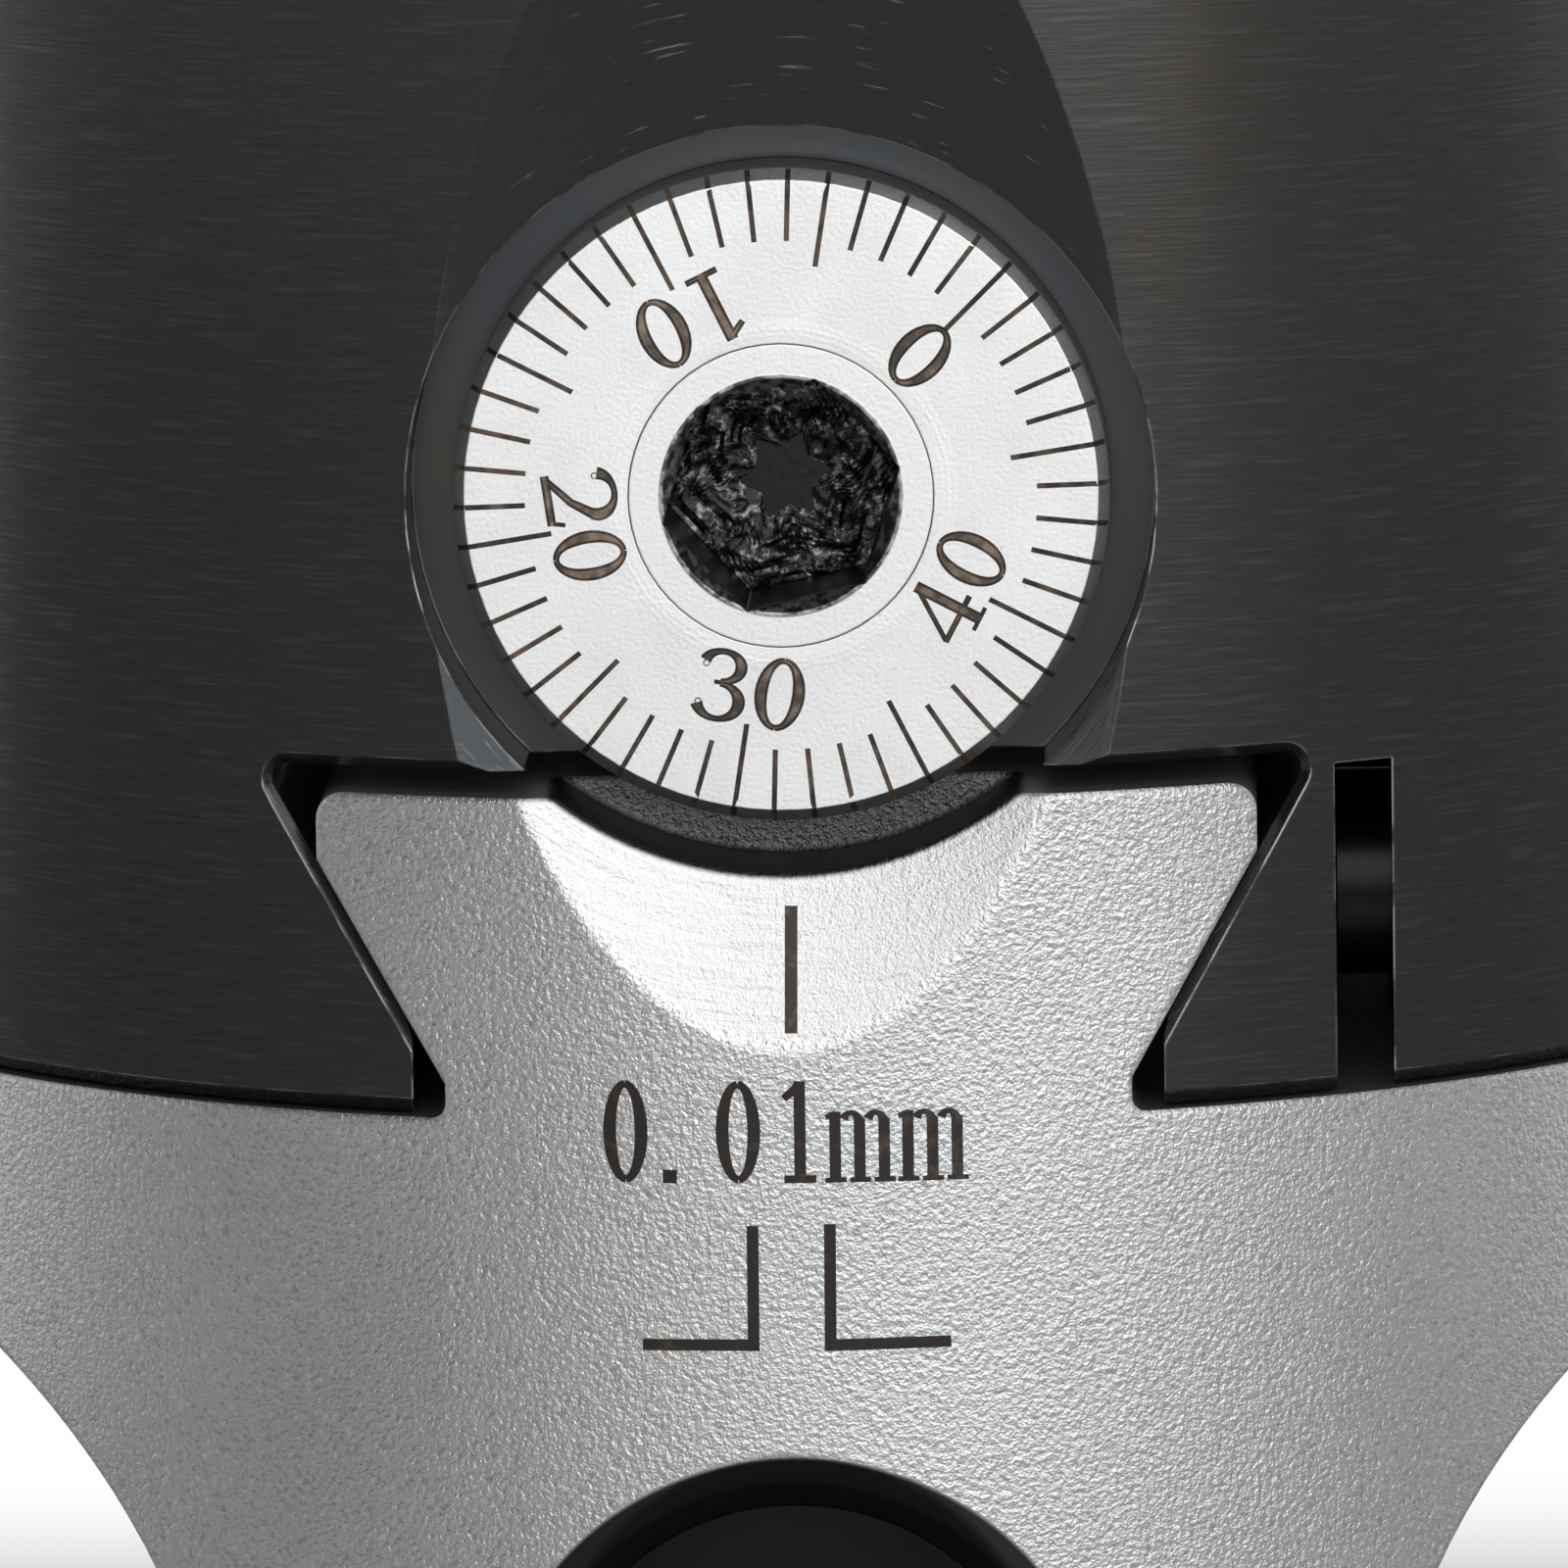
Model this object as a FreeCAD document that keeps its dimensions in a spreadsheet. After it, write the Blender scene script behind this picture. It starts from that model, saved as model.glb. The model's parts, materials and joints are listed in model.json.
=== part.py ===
import FreeCAD, Part

"""A 50 mm boring head: a round head with a dovetail slot, and a tool slide that a graduated
lead screw moves across it.

Frame: millimetres, +Z up. The origin is in the middle of the slide's bottom face. The dial faces -Y,
the lead screw lies along Y, and the slide travels towards +Y, away from the dial.
"""

import math
import os
import re

import Sketcher
from FreeCAD import Placement, Rotation, Vector

# Driving sizes in millimetres, or degrees where the name says so.
SIZES = {
    # head and slide
    "head_diameter": 50.0,
    "head_height": 34.6,
    "slide_height": 26.9,
    "shoulder_gap": 0.1,
    "slide_travel": 13.0,
    "top_chamfer": 2.0,
    "edge_break": 0.35,
    # dovetail
    "male_depth": 7.6,
    "roof_gap": 0.6,
    "flank_lean_degrees": 30.0,
    "neck_half": 8.13,
    "neck_rise": 0.73,
    "cheek_relief": 1.352,
    "male_corner": 0.7,
    "flank_clearance": 0.05,
    "nose_room": 0.77,
    "roof_corner": 0.4,
    "slot_chamfer": 0.28,
    "neck_fillet": 0.35,
    # integral gib
    "gib_web": 0.5,
    "slit_width": 1.36,
    "slit_drop": 0.34,
    # arbor socket
    "arbor_radius": 10.45,
    "arbor_depth": 13.0,
    "arbor_lead": 0.9,
    # dial pocket and scoops
    "screw_rise": 14.6,
    "pocket_radius": 8.85,
    "pocket_depth": 4.55,
    "head_scoop_depth": 2.8,
    "head_scoop_degrees": 9.2,
    "slide_scoop_depth": 2.93,
    "slide_scoop_degrees": 12.68,
    # dial and lead screw
    "dial_radius": 7.77,
    "dial_bevel": 0.28,
    "dial_recess": 2.0,
    "dial_thickness": 2.4,
    "boss_radius": 3.6,
    "collar_radius": 5.2,
    "collar_length": 0.7,
    "journal_radius": 3.97,
    "lead_radius": 3.5,
    "tail_radius": 3.0,
    "tail_end_recess": 0.65,
    "running_clearance": 0.03,
    "seat_clearance": 0.02,
    "end_play": 0.05,
    "dial_socket_flats": 5.0,
    "dial_socket_depth": 4.0,
    "dial_socket_lead": 2.8,
    "dial_socket_turn_degrees": 13.0,
    # thrust parts
    "front_washer_radius": 5.6,
    "front_washer_thickness": 0.8,
    "front_wall": 5.05,
    "rear_wall": 7.0,
    "bush_radius": 4.5,
    "bush_flange_radius": 5.5,
    "bush_flange_thickness": 1.0,
    "rear_washer_thickness": 0.8,
    "rear_washer_radius": 5.3,
    "nut_flats": 9.0,
    "thrust_nut_thickness": 2.0,
    "jam_nut_thickness": 1.8,
    "rear_bore_radius": 5.9,
    # lead nut
    "lead_nut_width": 8.8,
    "lead_nut_length": 9.5,
    "lead_nut_crown": 1.1,
    "lead_nut_edge": 0.45,
    "nut_side_room": 0.3,
    "nut_end_room": 1.25,
    "nut_top_room": 0.4,
    "spigot_radius": 3.9,
    "spigot_length": 6.0,
    "nut_screw_radius": 2.0,
    "nut_screw_sink": 0.06,
    "nut_screw_drop": 3.4,
    "nut_screw_socket": 2.0,
    # slide's lower half
    "block_half": 13.7,
    "cove_radius": 15.1,
    "cove_height": 8.4,
    "foot_chamfer": 0.5,
    "tool_radius": 6.0,
    "tool_depth": 25.0,
    "rim_wall": 3.0,
    "tool_mouth": 0.6,
    "cross_height": 11.5,
    "bore_wall": 2.5,
    "cross_mouth_radius": 7.45,
    "cross_step_radius": 6.7,
    "cross_mouth_depth": 0.65,
    "cross_step_depth": 0.8,
    # screws
    "socket_depth_share": 0.5,
    "tool_screw_radius": 3.0,
    "tool_screw_length": 6.0,
    "tool_screw_socket": 3.0,
    "tool_screw_retreat": 1.0,
    "tool_screw_low": 5.5,
    "tool_screw_high": 14.0,
    "cross_screw_first": 6.7,
    "cross_screw_pitch": 7.0,
    "gib_screw_radius": 2.5,
    "gib_screw_length": 6.0,
    "gib_screw_socket": 2.5,
    "gib_screw_rise": 4.0,
    "gib_screw_offset": 12.5,
    "lock_screw_radius": 3.0,
    "lock_screw_length": 10.0,
    "lock_screw_socket": 3.0,
}

# Places worked out from the sizes. "forward" counts from the head's axis towards the dial.
PLACES = {
    "head_radius": "head_diameter / 2",
    "mouth": "slide_height + shoulder_gap",
    "head_top": "mouth + head_height",
    "male_top": "mouth + male_depth",
    "roof": "male_top + roof_gap",
    "screw_height": "mouth + screw_rise",
    "lean": "flank_lean_degrees * 1 deg",
    "flank_slope": "tan(lean)",
    "flank_shift": "flank_clearance / cos(lean)",
    "roof_run": "roof_corner / tan(45 deg - lean / 2)",
    "neck_top": "mouth + neck_rise",
    "nose_half": "neck_half + nose_room",
    "nose_top": "neck_top + (nose_room - flank_shift) / flank_slope",
    "roof_half": "neck_half + flank_shift + (roof - neck_top) * flank_slope",
    "cheek_half": "roof_half - cheek_relief",
    "cheek_bottom": "neck_top + (cheek_half - neck_half) / flank_slope",
    "jaw_face": "roof_half + gib_web",
    "slit_top": "roof - slit_drop",
    "pocket_floor": "head_radius - pocket_depth",
    "scoop_front": "head_radius + edge_break",
    "dial_front": "head_radius - dial_recess",
    "dial_back": "dial_front - dial_thickness",
    "collar_back": "dial_back - collar_length",
    "front_seat": "collar_back - end_play - front_washer_thickness",
    "slot_front": "front_seat - front_wall",
    "slot_length": "lead_nut_length + slide_travel + 2 * nut_end_room",
    "slot_rear": "slot_length - slot_front",
    "rear_seat": "slot_rear + rear_wall",
    "rear_washer_place": "rear_seat + bush_flange_thickness + end_play",
    "thrust_nut_place": "rear_washer_place + rear_washer_thickness",
    "jam_nut_place": "thrust_nut_place + thrust_nut_thickness",
    "tail_end": "head_radius - tail_end_recess",
    "lead_nut_middle": "slot_front - nut_end_room - lead_nut_length / 2",
    "lead_nut_top": "screw_height + lead_radius + lead_nut_crown",
    "slot_top": "lead_nut_top + nut_top_room",
    "slot_half": "lead_nut_width / 2 + nut_side_room",
    "nut_screw_height": "male_top - nut_screw_drop",
    "nut_screw_flank": "neck_half + (nut_screw_height - nut_screw_radius - neck_top) * flank_slope",
    "nut_screw_length": "nut_screw_flank - nut_screw_sink - spigot_radius - seat_clearance",
    "arbor_floor": "head_top - arbor_depth",
    "cove_middle": "block_half + cove_radius",
    "cross_floor": "tool_radius + bore_wall",
    "tool_offset": "head_radius - rim_wall - tool_radius",
    "beyond": "head_diameter",
}

WORD = re.compile(r"[a-z][a-z_]*[a-z]")

doc = FreeCAD.newDocument("boring_head")
sheet = doc.addObject("Spreadsheet::Sheet", "sizes")
for row, (alias, size) in enumerate(SIZES.items(), 1):
    sheet.set(f"A{row}", alias)
    sheet.set(f"B{row}", str(size))
    sheet.setAlias(f"B{row}", alias)
doc.recompute()


# ---------------------------------------------------------------- helpers


def formula(text):
    """The text as an expression of the document, with each size read from the sheet."""

    def swap(match):
        word = match.group(0)
        if word in PLACES:
            return "(" + formula(PLACES[word]) + ")"
        if word in SIZES:
            return "sizes." + word
        return word

    return WORD.sub(swap, text)


def value(text):
    """The number that a formula gives now."""
    found = sheet.evalExpression(formula(text))
    return float(getattr(found, "Value", found))


def body_named(name, turn=None, x="0", y="0", z="0"):
    """A new body, turned and then placed by formulas."""
    body = doc.addObject("PartDesign::Body", name)
    body.Label = name
    body.Placement = Placement(Vector(), turn or Rotation())
    for axis, place in (("x", x), ("y", y), ("z", z)):
        if place != "0":
            body.setExpression(f"Placement.Base.{axis}", formula(place))
    return body


def sketch_on(body, name, role, lift="0", rise="0", flip=False):
    """A sketch on one of the body's origin planes, lifted off it and raised along its own upward axis."""
    sketch = body.newObject("Sketcher::SketchObject", name)
    plane = next(f for f in body.Origin.OriginFeatures if f.Role == role)
    sketch.AttachmentSupport = [(plane, "")]
    sketch.MapMode = "FlatFace"
    if flip:
        sketch.AttachmentOffset = Placement(Vector(), Rotation(Vector(0, 1, 0), 180))
    if lift != "0":
        sketch.setExpression("AttachmentOffset.Base.z", formula(lift))
    if rise != "0":
        sketch.setExpression("AttachmentOffset.Base.y", formula(rise))
    return sketch


def pin(sketch, geometry, end, u, v):
    """Ties one point of a sketch to the sketch's origin by two formulas."""
    for kind, axis, text in (("DistanceX", -2, u), ("DistanceY", -1, v)):
        if text == "0":
            sketch.addConstraint(Sketcher.Constraint("PointOnObject", geometry, end, axis))
            continue
        index = sketch.addConstraint(
            Sketcher.Constraint(kind, -1, 1, geometry, end, value(text))
        )
        sketch.setExpression(f"Constraints[{index}]", formula(text))


def outline(sketch, corners):
    """A closed outline through corners given as pairs of formulas.

    A corner with a third entry, the middle and radius of a circle, starts an arc to the next corner,
    and any other starts a straight line.
    """
    first = len(sketch.Geometry)
    count = len(corners)
    points = [Vector(value(corner[0]), value(corner[1]), 0) for corner in corners]
    ends = []
    for i, corner in enumerate(corners):
        start = points[i]
        finish = points[(i + 1) % count]
        if len(corner) == 2:
            sketch.addGeometry(Part.LineSegment(start, finish), False)
            ends.append((1, 2))
            continue
        middle = Vector(value(corner[2][0]), value(corner[2][1]), 0)
        radius = corner[2][2]
        a = math.atan2(start.y - middle.y, start.x - middle.x)
        b = math.atan2(finish.y - middle.y, finish.x - middle.x)
        forwards = (b - a) % math.tau < math.pi
        ends.append((1, 2) if forwards else (2, 1))
        round_edge = Part.Circle(middle, Vector(0, 0, 1), value(radius))
        turn = (a, b) if forwards else (b, a)
        sketch.addGeometry(Part.ArcOfCircle(round_edge, *turn), False)
        index = sketch.addConstraint(Sketcher.Constraint("Radius", first + i, value(radius)))
        sketch.setExpression(f"Constraints[{index}]", formula(radius))
    for i in range(count):
        following = (i + 1) % count
        sketch.addConstraint(
            Sketcher.Constraint(
                "Coincident", first + i, ends[i][1], first + following, ends[following][0]
            )
        )
    for i, corner in enumerate(corners):
        pin(sketch, first + i, ends[i][0], corner[0], corner[1])


def circle(sketch, u, v, radius):
    """A circle at a place given by two formulas."""
    middle = Vector(value(u), value(v), 0)
    index = sketch.addGeometry(Part.Circle(middle, Vector(0, 0, 1), value(radius)), False)
    pin(sketch, index, 3, u, v)
    rim = sketch.addConstraint(Sketcher.Constraint("Radius", index, value(radius)))
    sketch.setExpression(f"Constraints[{rim}]", formula(radius))


def hexagon(sketch, flats, turn="0"):
    """A regular hexagon about the sketch's origin, with one corner turned from its first axis."""
    corners = []
    for i in range(6):
        angle = f"({60 * i} + {turn}) * 1 deg"
        reach = f"{flats} / 2 / cos(30 deg)"
        corners.append((f"{reach} * cos({angle})", f"{reach} * sin({angle})"))
    outline(sketch, corners)


def pad(body, sketch, length, symmetric=False, reverse=False):
    """A pad of the sketch."""
    feature = body.newObject("PartDesign::Pad", sketch.Name + "_pad")
    feature.Profile = sketch
    feature.Midplane = symmetric
    feature.Reversed = reverse
    feature.setExpression("Length", formula(length))
    sketch.Visibility = False
    return feature


def cut(body, sketch, length, symmetric=False, reverse=False):
    """A pocket of the sketch, which has to take something away."""
    doc.recompute()
    before = body.Shape.Volume
    feature = body.newObject("PartDesign::Pocket", sketch.Name + "_pocket")
    feature.Profile = sketch
    feature.Midplane = symmetric
    feature.Reversed = reverse
    feature.setExpression("Length", formula(length))
    doc.recompute()
    if not body.Shape.Volume < before - 1e-6:
        raise RuntimeError(f"{feature.Name} cuts nothing")
    return feature


def turned(body, name, corners, rise="0", remove=False, role="YZ_Plane", axis="H_Axis"):
    """A revolved outline about an axis of its own sketch, added or taken away."""
    sketch = sketch_on(body, name, role, rise=rise, flip=role == "YZ_Plane")
    outline(sketch, corners)
    doc.recompute()
    before = body.Shape.Volume if remove else 0.0
    kind = "PartDesign::Groove" if remove else "PartDesign::Revolution"
    feature = body.newObject(kind, name + "_turned")
    feature.Profile = sketch
    feature.ReferenceAxis = (sketch, [axis])
    feature.Angle = 360
    doc.recompute()
    if remove and not body.Shape.Volume < before - 1e-6:
        raise RuntimeError(f"{feature.Name} cuts nothing")
    return feature


def edges_where(feature, test):
    """The names of the feature's edges whose end points all pass a test."""
    names = []
    for i, edge in enumerate(feature.Shape.Edges, 1):
        if all(test(vertex.Point, edge) for vertex in edge.Vertexes):
            names.append(f"Edge{i}")
    if not names:
        raise RuntimeError(f"no edge of {feature.Name} passes the test")
    return names


def near(a, b):
    """Whether two lengths are the same."""
    return abs(a - b) < 1e-4


def dress(body, kind, feature, test, size):
    """A fillet or chamfer on the feature's edges that pass a test."""
    doc.recompute()
    names = edges_where(feature, test)
    dressed = body.newObject(f"PartDesign::{kind}", f"{feature.Name}_{kind.lower()}")
    dressed.Base = (feature, names)
    dressed.setExpression("Radius" if kind == "Fillet" else "Size", formula(size))
    doc.recompute()
    return dressed


def along_y(x, z):
    """A test for edges that run along Y at a height z and a half-width x, on both sides."""

    def test(point, edge):
        return near(abs(point.x), x) and near(point.z, z)

    return test


def at_height(z):
    """A test for every edge that lies at a height."""

    def test(point, edge):
        return near(point.z, z)

    return test


def round_at(z, radius):
    """A test for round edges at a height."""

    def test(point, edge):
        curve = edge.Curve
        return near(point.z, z) and isinstance(curve, Part.Circle) and near(curve.Radius, radius)

    return test


# ---------------------------------------------------------------- head


def head_body():
    """The round head: dovetail slot with its integral gib, dial pocket and scoop, arbor socket, screw bores."""
    body = body_named("head_body")
    sketch = sketch_on(body, "head_round", "XY_Plane", lift="mouth")
    circle(sketch, "0", "0", "head_radius")
    barrel = pad(body, sketch, "head_height")
    rim = round_at(value("head_top"), value("head_radius"))
    crown = dress(body, "Chamfer", barrel, rim, "top_chamfer")
    rim = round_at(value("mouth"), value("head_radius"))
    dress(body, "Chamfer", crown, rim, "edge_break")

    turned(
        body,
        "arbor_socket",
        [
            ("0", "arbor_floor"),
            ("arbor_radius", "arbor_floor"),
            ("arbor_radius", "head_top - arbor_lead"),
            ("arbor_radius + arbor_lead", "head_top"),
            ("arbor_radius + arbor_lead", "head_top + arbor_lead"),
            ("0", "head_top + arbor_lead"),
        ],
        remove=True,
        role="XZ_Plane",
        axis="V_Axis",
    )

    sketch = sketch_on(body, "dovetail_slot", "XZ_Plane")
    outline(
        sketch,
        [
            ("nose_half", "mouth - shoulder_gap"),
            ("nose_half", "nose_top"),
            ("roof_half - roof_run * sin(lean)", "roof - roof_run * cos(lean)", roof_arc("")),
            ("roof_half - roof_run", "roof"),
            ("-(roof_half - roof_run)", "roof", roof_arc("-")),
            ("-(roof_half - roof_run * sin(lean))", "roof - roof_run * cos(lean)"),
            ("-(nose_half)", "nose_top"),
            ("-(nose_half)", "mouth - shoulder_gap"),
        ],
    )
    slot = cut(body, sketch, "beyond * 1.2", symmetric=True)
    dress(body, "Chamfer", slot, slot_rim, "slot_chamfer")

    sketch = sketch_on(body, "gib_slit", "XZ_Plane")
    outline(
        sketch,
        [
            ("jaw_face", "mouth - shoulder_gap"),
            ("jaw_face + slit_width", "mouth - shoulder_gap"),
            ("jaw_face + slit_width", "slit_top"),
            ("jaw_face", "slit_top"),
        ],
    )
    cut(body, sketch, "beyond * 1.2", symmetric=True)

    turned(
        body,
        "dial_side",
        [
            ("slot_front - nut_end_room", "0"),
            ("slot_front - nut_end_room", "journal_radius + running_clearance"),
            ("front_seat", "journal_radius + running_clearance"),
            ("front_seat", "front_washer_radius + seat_clearance"),
            ("pocket_floor", "front_washer_radius + seat_clearance"),
            ("pocket_floor", "pocket_radius"),
            (scoop_wall("head"), "pocket_radius"),
            ("scoop_front", scoop_reach("head")),
            ("beyond", scoop_reach("head")),
            ("beyond", "0"),
        ],
        rise="screw_height",
        remove=True,
    )
    turned(
        body,
        "nut_side",
        [
            ("-(slot_rear - nut_end_room)", "0"),
            ("-(slot_rear - nut_end_room)", "bush_radius + seat_clearance"),
            ("-(rear_seat)", "bush_radius + seat_clearance"),
            ("-(rear_seat)", "rear_bore_radius"),
            ("-(beyond)", "rear_bore_radius"),
            ("-(beyond)", "0"),
        ],
        rise="screw_height",
        remove=True,
    )

    sketch = sketch_on(body, "nut_slot", "XY_Plane", lift="slot_top")
    outline(
        sketch,
        [
            ("-(slot_half)", "-(slot_front)"),
            ("slot_half", "-(slot_front)"),
            ("slot_half", "slot_rear"),
            ("-(slot_half)", "slot_rear"),
        ],
    )
    cut(body, sketch, "slot_top - roof + roof_gap / 2")

    sketch = sketch_on(body, "gib_screw_holes", "YZ_Plane", lift="jaw_face + slit_width / 2")
    for side in ("-(gib_screw_offset)", "gib_screw_offset"):
        circle(sketch, side, "mouth + gib_screw_rise", "gib_screw_radius + running_clearance")
    circle(sketch, "0", "mouth + gib_screw_rise", "lock_screw_radius + running_clearance")
    cut(body, sketch, "beyond", reverse=True)
    return body


def slot_rim(point, edge):
    """Whether an edge is where the dovetail slot's flanks and roof come out of the round head."""
    on_barrel = near(math.hypot(point.x, point.y), value("head_radius"))
    return on_barrel and value("nose_top") - 1e-4 < point.z < value("roof") + 1e-4


def roof_arc(side):
    """The round corner between one flank and the dovetail's roof."""
    return (f"{side}(roof_half - roof_run)", "roof - roof_corner", "roof_corner")


def scoop_wall(piece):
    """How far forward a scoop's cone stands at the pocket's wall."""
    return f"head_radius - {piece}_scoop_depth + pocket_radius * tan({piece}_scoop_degrees * 1 deg)"


def scoop_reach(piece):
    """The radius at which a scoop's cone comes out in front of the round head."""
    return f"({piece}_scoop_depth + edge_break) / tan({piece}_scoop_degrees * 1 deg)"


# ---------------------------------------------------------------- slide


def tool_slide():
    """The tool slide: male dovetail, dial scoop, coves, one cross bore and two upright bores."""
    body = body_named("tool_slide")
    sketch = sketch_on(body, "slide_round", "XY_Plane")
    circle(sketch, "0", "0", "head_radius")
    pad(body, sketch, "male_top")
    sketch = sketch_on(body, "slide_coves", "XZ_Plane")
    for side in ("", "-"):
        circle(sketch, f"{side}(cove_middle)", "cove_height", "cove_radius")
    cut(body, sketch, "beyond * 1.2", symmetric=True)
    sketch = sketch_on(body, "slide_cheeks", "XZ_Plane")
    for side in ("", "-"):
        outline(
            sketch,
            [
                (f"{side}(block_half)", "-(foot_chamfer)"),
                (f"{side}(block_half)", "cove_height"),
                (f"{side}(beyond)", "cove_height"),
                (f"{side}(beyond)", "-(foot_chamfer)"),
            ],
        )
    block = cut(body, sketch, "beyond * 1.2", symmetric=True)
    dress(body, "Chamfer", block, at_height(0.0), "foot_chamfer")

    sketch = sketch_on(body, "slide_dovetail", "XZ_Plane")
    for side in ("", "-"):
        outline(
            sketch,
            [
                (
                    f"{side}(neck_half + neck_fillet)",
                    "slide_height",
                    (f"{side}(neck_half + neck_fillet)", "slide_height + neck_fillet", "neck_fillet"),
                ),
                (f"{side}(neck_half)", "slide_height + neck_fillet"),
                (f"{side}(neck_half)", "neck_top"),
                (f"{side}(cheek_half)", "cheek_bottom"),
                (
                    f"{side}(cheek_half)",
                    "male_top - male_corner",
                    (f"{side}(cheek_half - male_corner)", "male_top - male_corner", "male_corner"),
                ),
                (f"{side}(cheek_half - male_corner)", "male_top"),
                (f"{side}(cheek_half - male_corner)", "male_top + roof_gap"),
                (f"{side}(beyond)", "male_top + roof_gap"),
                (f"{side}(beyond)", "slide_height"),
            ],
        )
    cut(body, sketch, "beyond * 1.2", symmetric=True)

    turned(
        body,
        "slide_scoop",
        [
            ("pocket_floor", "0"),
            ("pocket_floor", "pocket_radius"),
            (scoop_wall("slide"), "pocket_radius"),
            ("scoop_front", scoop_reach("slide")),
            ("beyond", scoop_reach("slide")),
            ("beyond", "0"),
        ],
        rise="screw_height",
        remove=True,
    )
    turned(
        body,
        "cross_bore",
        [
            ("cross_floor", "0"),
            ("cross_floor", "tool_radius"),
            ("head_radius - cross_mouth_depth - cross_step_depth", "tool_radius"),
            ("head_radius - cross_mouth_depth", "cross_step_radius"),
            ("head_radius", "cross_mouth_radius"),
            ("beyond", "cross_mouth_radius"),
            ("beyond", "0"),
        ],
        rise="cross_height",
        remove=True,
    )

    sketch = sketch_on(body, "upright_bores", "XY_Plane")
    circle(sketch, "0", "0", "tool_radius")
    circle(sketch, "0", "tool_offset", "tool_radius")
    bored = cut(body, sketch, "tool_depth", reverse=True)
    dress(body, "Chamfer", bored, round_at(0.0, value("tool_radius")), "tool_mouth")

    sketch = sketch_on(body, "tool_screw_holes", "YZ_Plane")
    for place, height in tool_screw_places().values():
        circle(sketch, place, height, "tool_screw_radius + running_clearance")
    cut(body, sketch, "beyond", reverse=True)

    sketch = sketch_on(body, "spigot_hole", "XY_Plane", lift="male_top")
    circle(sketch, "0", "-(lead_nut_middle)", "spigot_radius + seat_clearance")
    cut(body, sketch, "spigot_length + seat_clearance")
    sketch = sketch_on(body, "nut_screw_hole", "YZ_Plane")
    circle(sketch, "-(lead_nut_middle)", "nut_screw_height", "nut_screw_radius + seat_clearance")
    cut(body, sketch, "beyond")
    return body


def tool_screw_places():
    """Where each tool screw stands: its place along Y and its height."""
    first = "-(head_radius - cross_screw_first)"
    return {
        "centre_bore_screw_lower": ("0", "tool_screw_low"),
        "centre_bore_screw_upper": ("0", "tool_screw_high"),
        "offset_bore_screw_lower": ("tool_offset", "tool_screw_low"),
        "offset_bore_screw_upper": ("tool_offset", "tool_screw_high"),
        "cross_bore_screw_front": (first, "cross_height"),
        "cross_bore_screw_rear": (first + " + cross_screw_pitch", "cross_height"),
    }


# ---------------------------------------------------------------- lead screw and dial

# Turned parts on the lead screw's axis: their own +Z points forward, out of the dial.
FORWARD = Rotation(Vector(1, 0, 0), 90)
RIGHT = Rotation(Vector(0, 1, 0), 90)
LEFT = Rotation(Vector(0, 1, 0), -90)


def on_screw_axis(name):
    """A body on the lead screw's axis."""
    return body_named(name, FORWARD, z="screw_height")


def ring(name, inner, outer, start, length):
    """A plain ring on the lead screw's axis, from a start counted forwards."""
    body = on_screw_axis(name)
    sketch = sketch_on(body, name + "_section", "XY_Plane", lift=start)
    circle(sketch, "0", "0", outer)
    circle(sketch, "0", "0", inner)
    pad(body, sketch, length)
    return body


def lead_screw():
    """The lead screw: socketed boss, thrust collar, journal, left-hand lead thread, tail."""
    body = on_screw_axis("lead_screw")
    turned(
        body,
        "screw_profile",
        [
            ("0", "-(tail_end)"),
            ("tail_radius", "-(tail_end)"),
            ("tail_radius", "-(slot_rear - end_play)"),
            ("lead_radius", "-(slot_rear - end_play)"),
            ("lead_radius", "slot_front - end_play"),
            ("journal_radius", "slot_front - end_play"),
            ("journal_radius", "collar_back"),
            ("collar_radius", "collar_back"),
            ("collar_radius", "dial_back"),
            ("boss_radius", "dial_back"),
            ("boss_radius", "dial_front"),
            ("0", "dial_front"),
        ],
        role="XZ_Plane",
        axis="V_Axis",
    )
    sketch = sketch_on(body, "dial_socket", "XY_Plane", lift="dial_front")
    hexagon(sketch, "dial_socket_flats", "dial_socket_turn_degrees")
    cut(body, sketch, "dial_socket_depth")
    turned(
        body,
        "socket_lead",
        [
            ("0", "dial_front - dial_socket_lead"),
            ("dial_socket_lead", "dial_front"),
            ("dial_socket_lead", "dial_front + end_play"),
            ("0", "dial_front + end_play"),
        ],
        remove=True,
        role="XZ_Plane",
        axis="V_Axis",
    )
    return body


def graduated_dial():
    """The graduated dial, a ring on the lead screw's boss with a fine bevel round its face."""
    body = on_screw_axis("graduated_dial")
    turned(
        body,
        "dial_profile",
        [
            ("boss_radius + seat_clearance", "dial_back"),
            ("dial_radius", "dial_back"),
            ("dial_radius", "dial_front - dial_bevel"),
            ("dial_radius - dial_bevel", "dial_front"),
            ("boss_radius + seat_clearance", "dial_front"),
        ],
        role="XZ_Plane",
        axis="V_Axis",
    )
    return body


def rear_bush():
    """The flanged bush that carries the lead screw's tail."""
    body = on_screw_axis("rear_bush")
    turned(
        body,
        "bush_profile",
        [
            ("tail_radius + running_clearance", "-(rear_seat + bush_flange_thickness)"),
            ("bush_flange_radius", "-(rear_seat + bush_flange_thickness)"),
            ("bush_flange_radius", "-(rear_seat)"),
            ("bush_radius", "-(rear_seat)"),
            ("bush_radius", "-(slot_rear)"),
            ("tail_radius + running_clearance", "-(slot_rear)"),
        ],
        role="XZ_Plane",
        axis="V_Axis",
    )
    return body


def tail_nut(name, place, thickness, turn):
    """A hexagon nut on the lead screw's tail."""
    body = on_screw_axis(name)
    sketch = sketch_on(body, name + "_section", "XY_Plane", lift=f"-({place})")
    hexagon(sketch, "nut_flats", turn)
    circle(sketch, "0", "0", "tail_radius + seat_clearance")
    pad(body, sketch, thickness, reverse=True)
    return body


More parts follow.
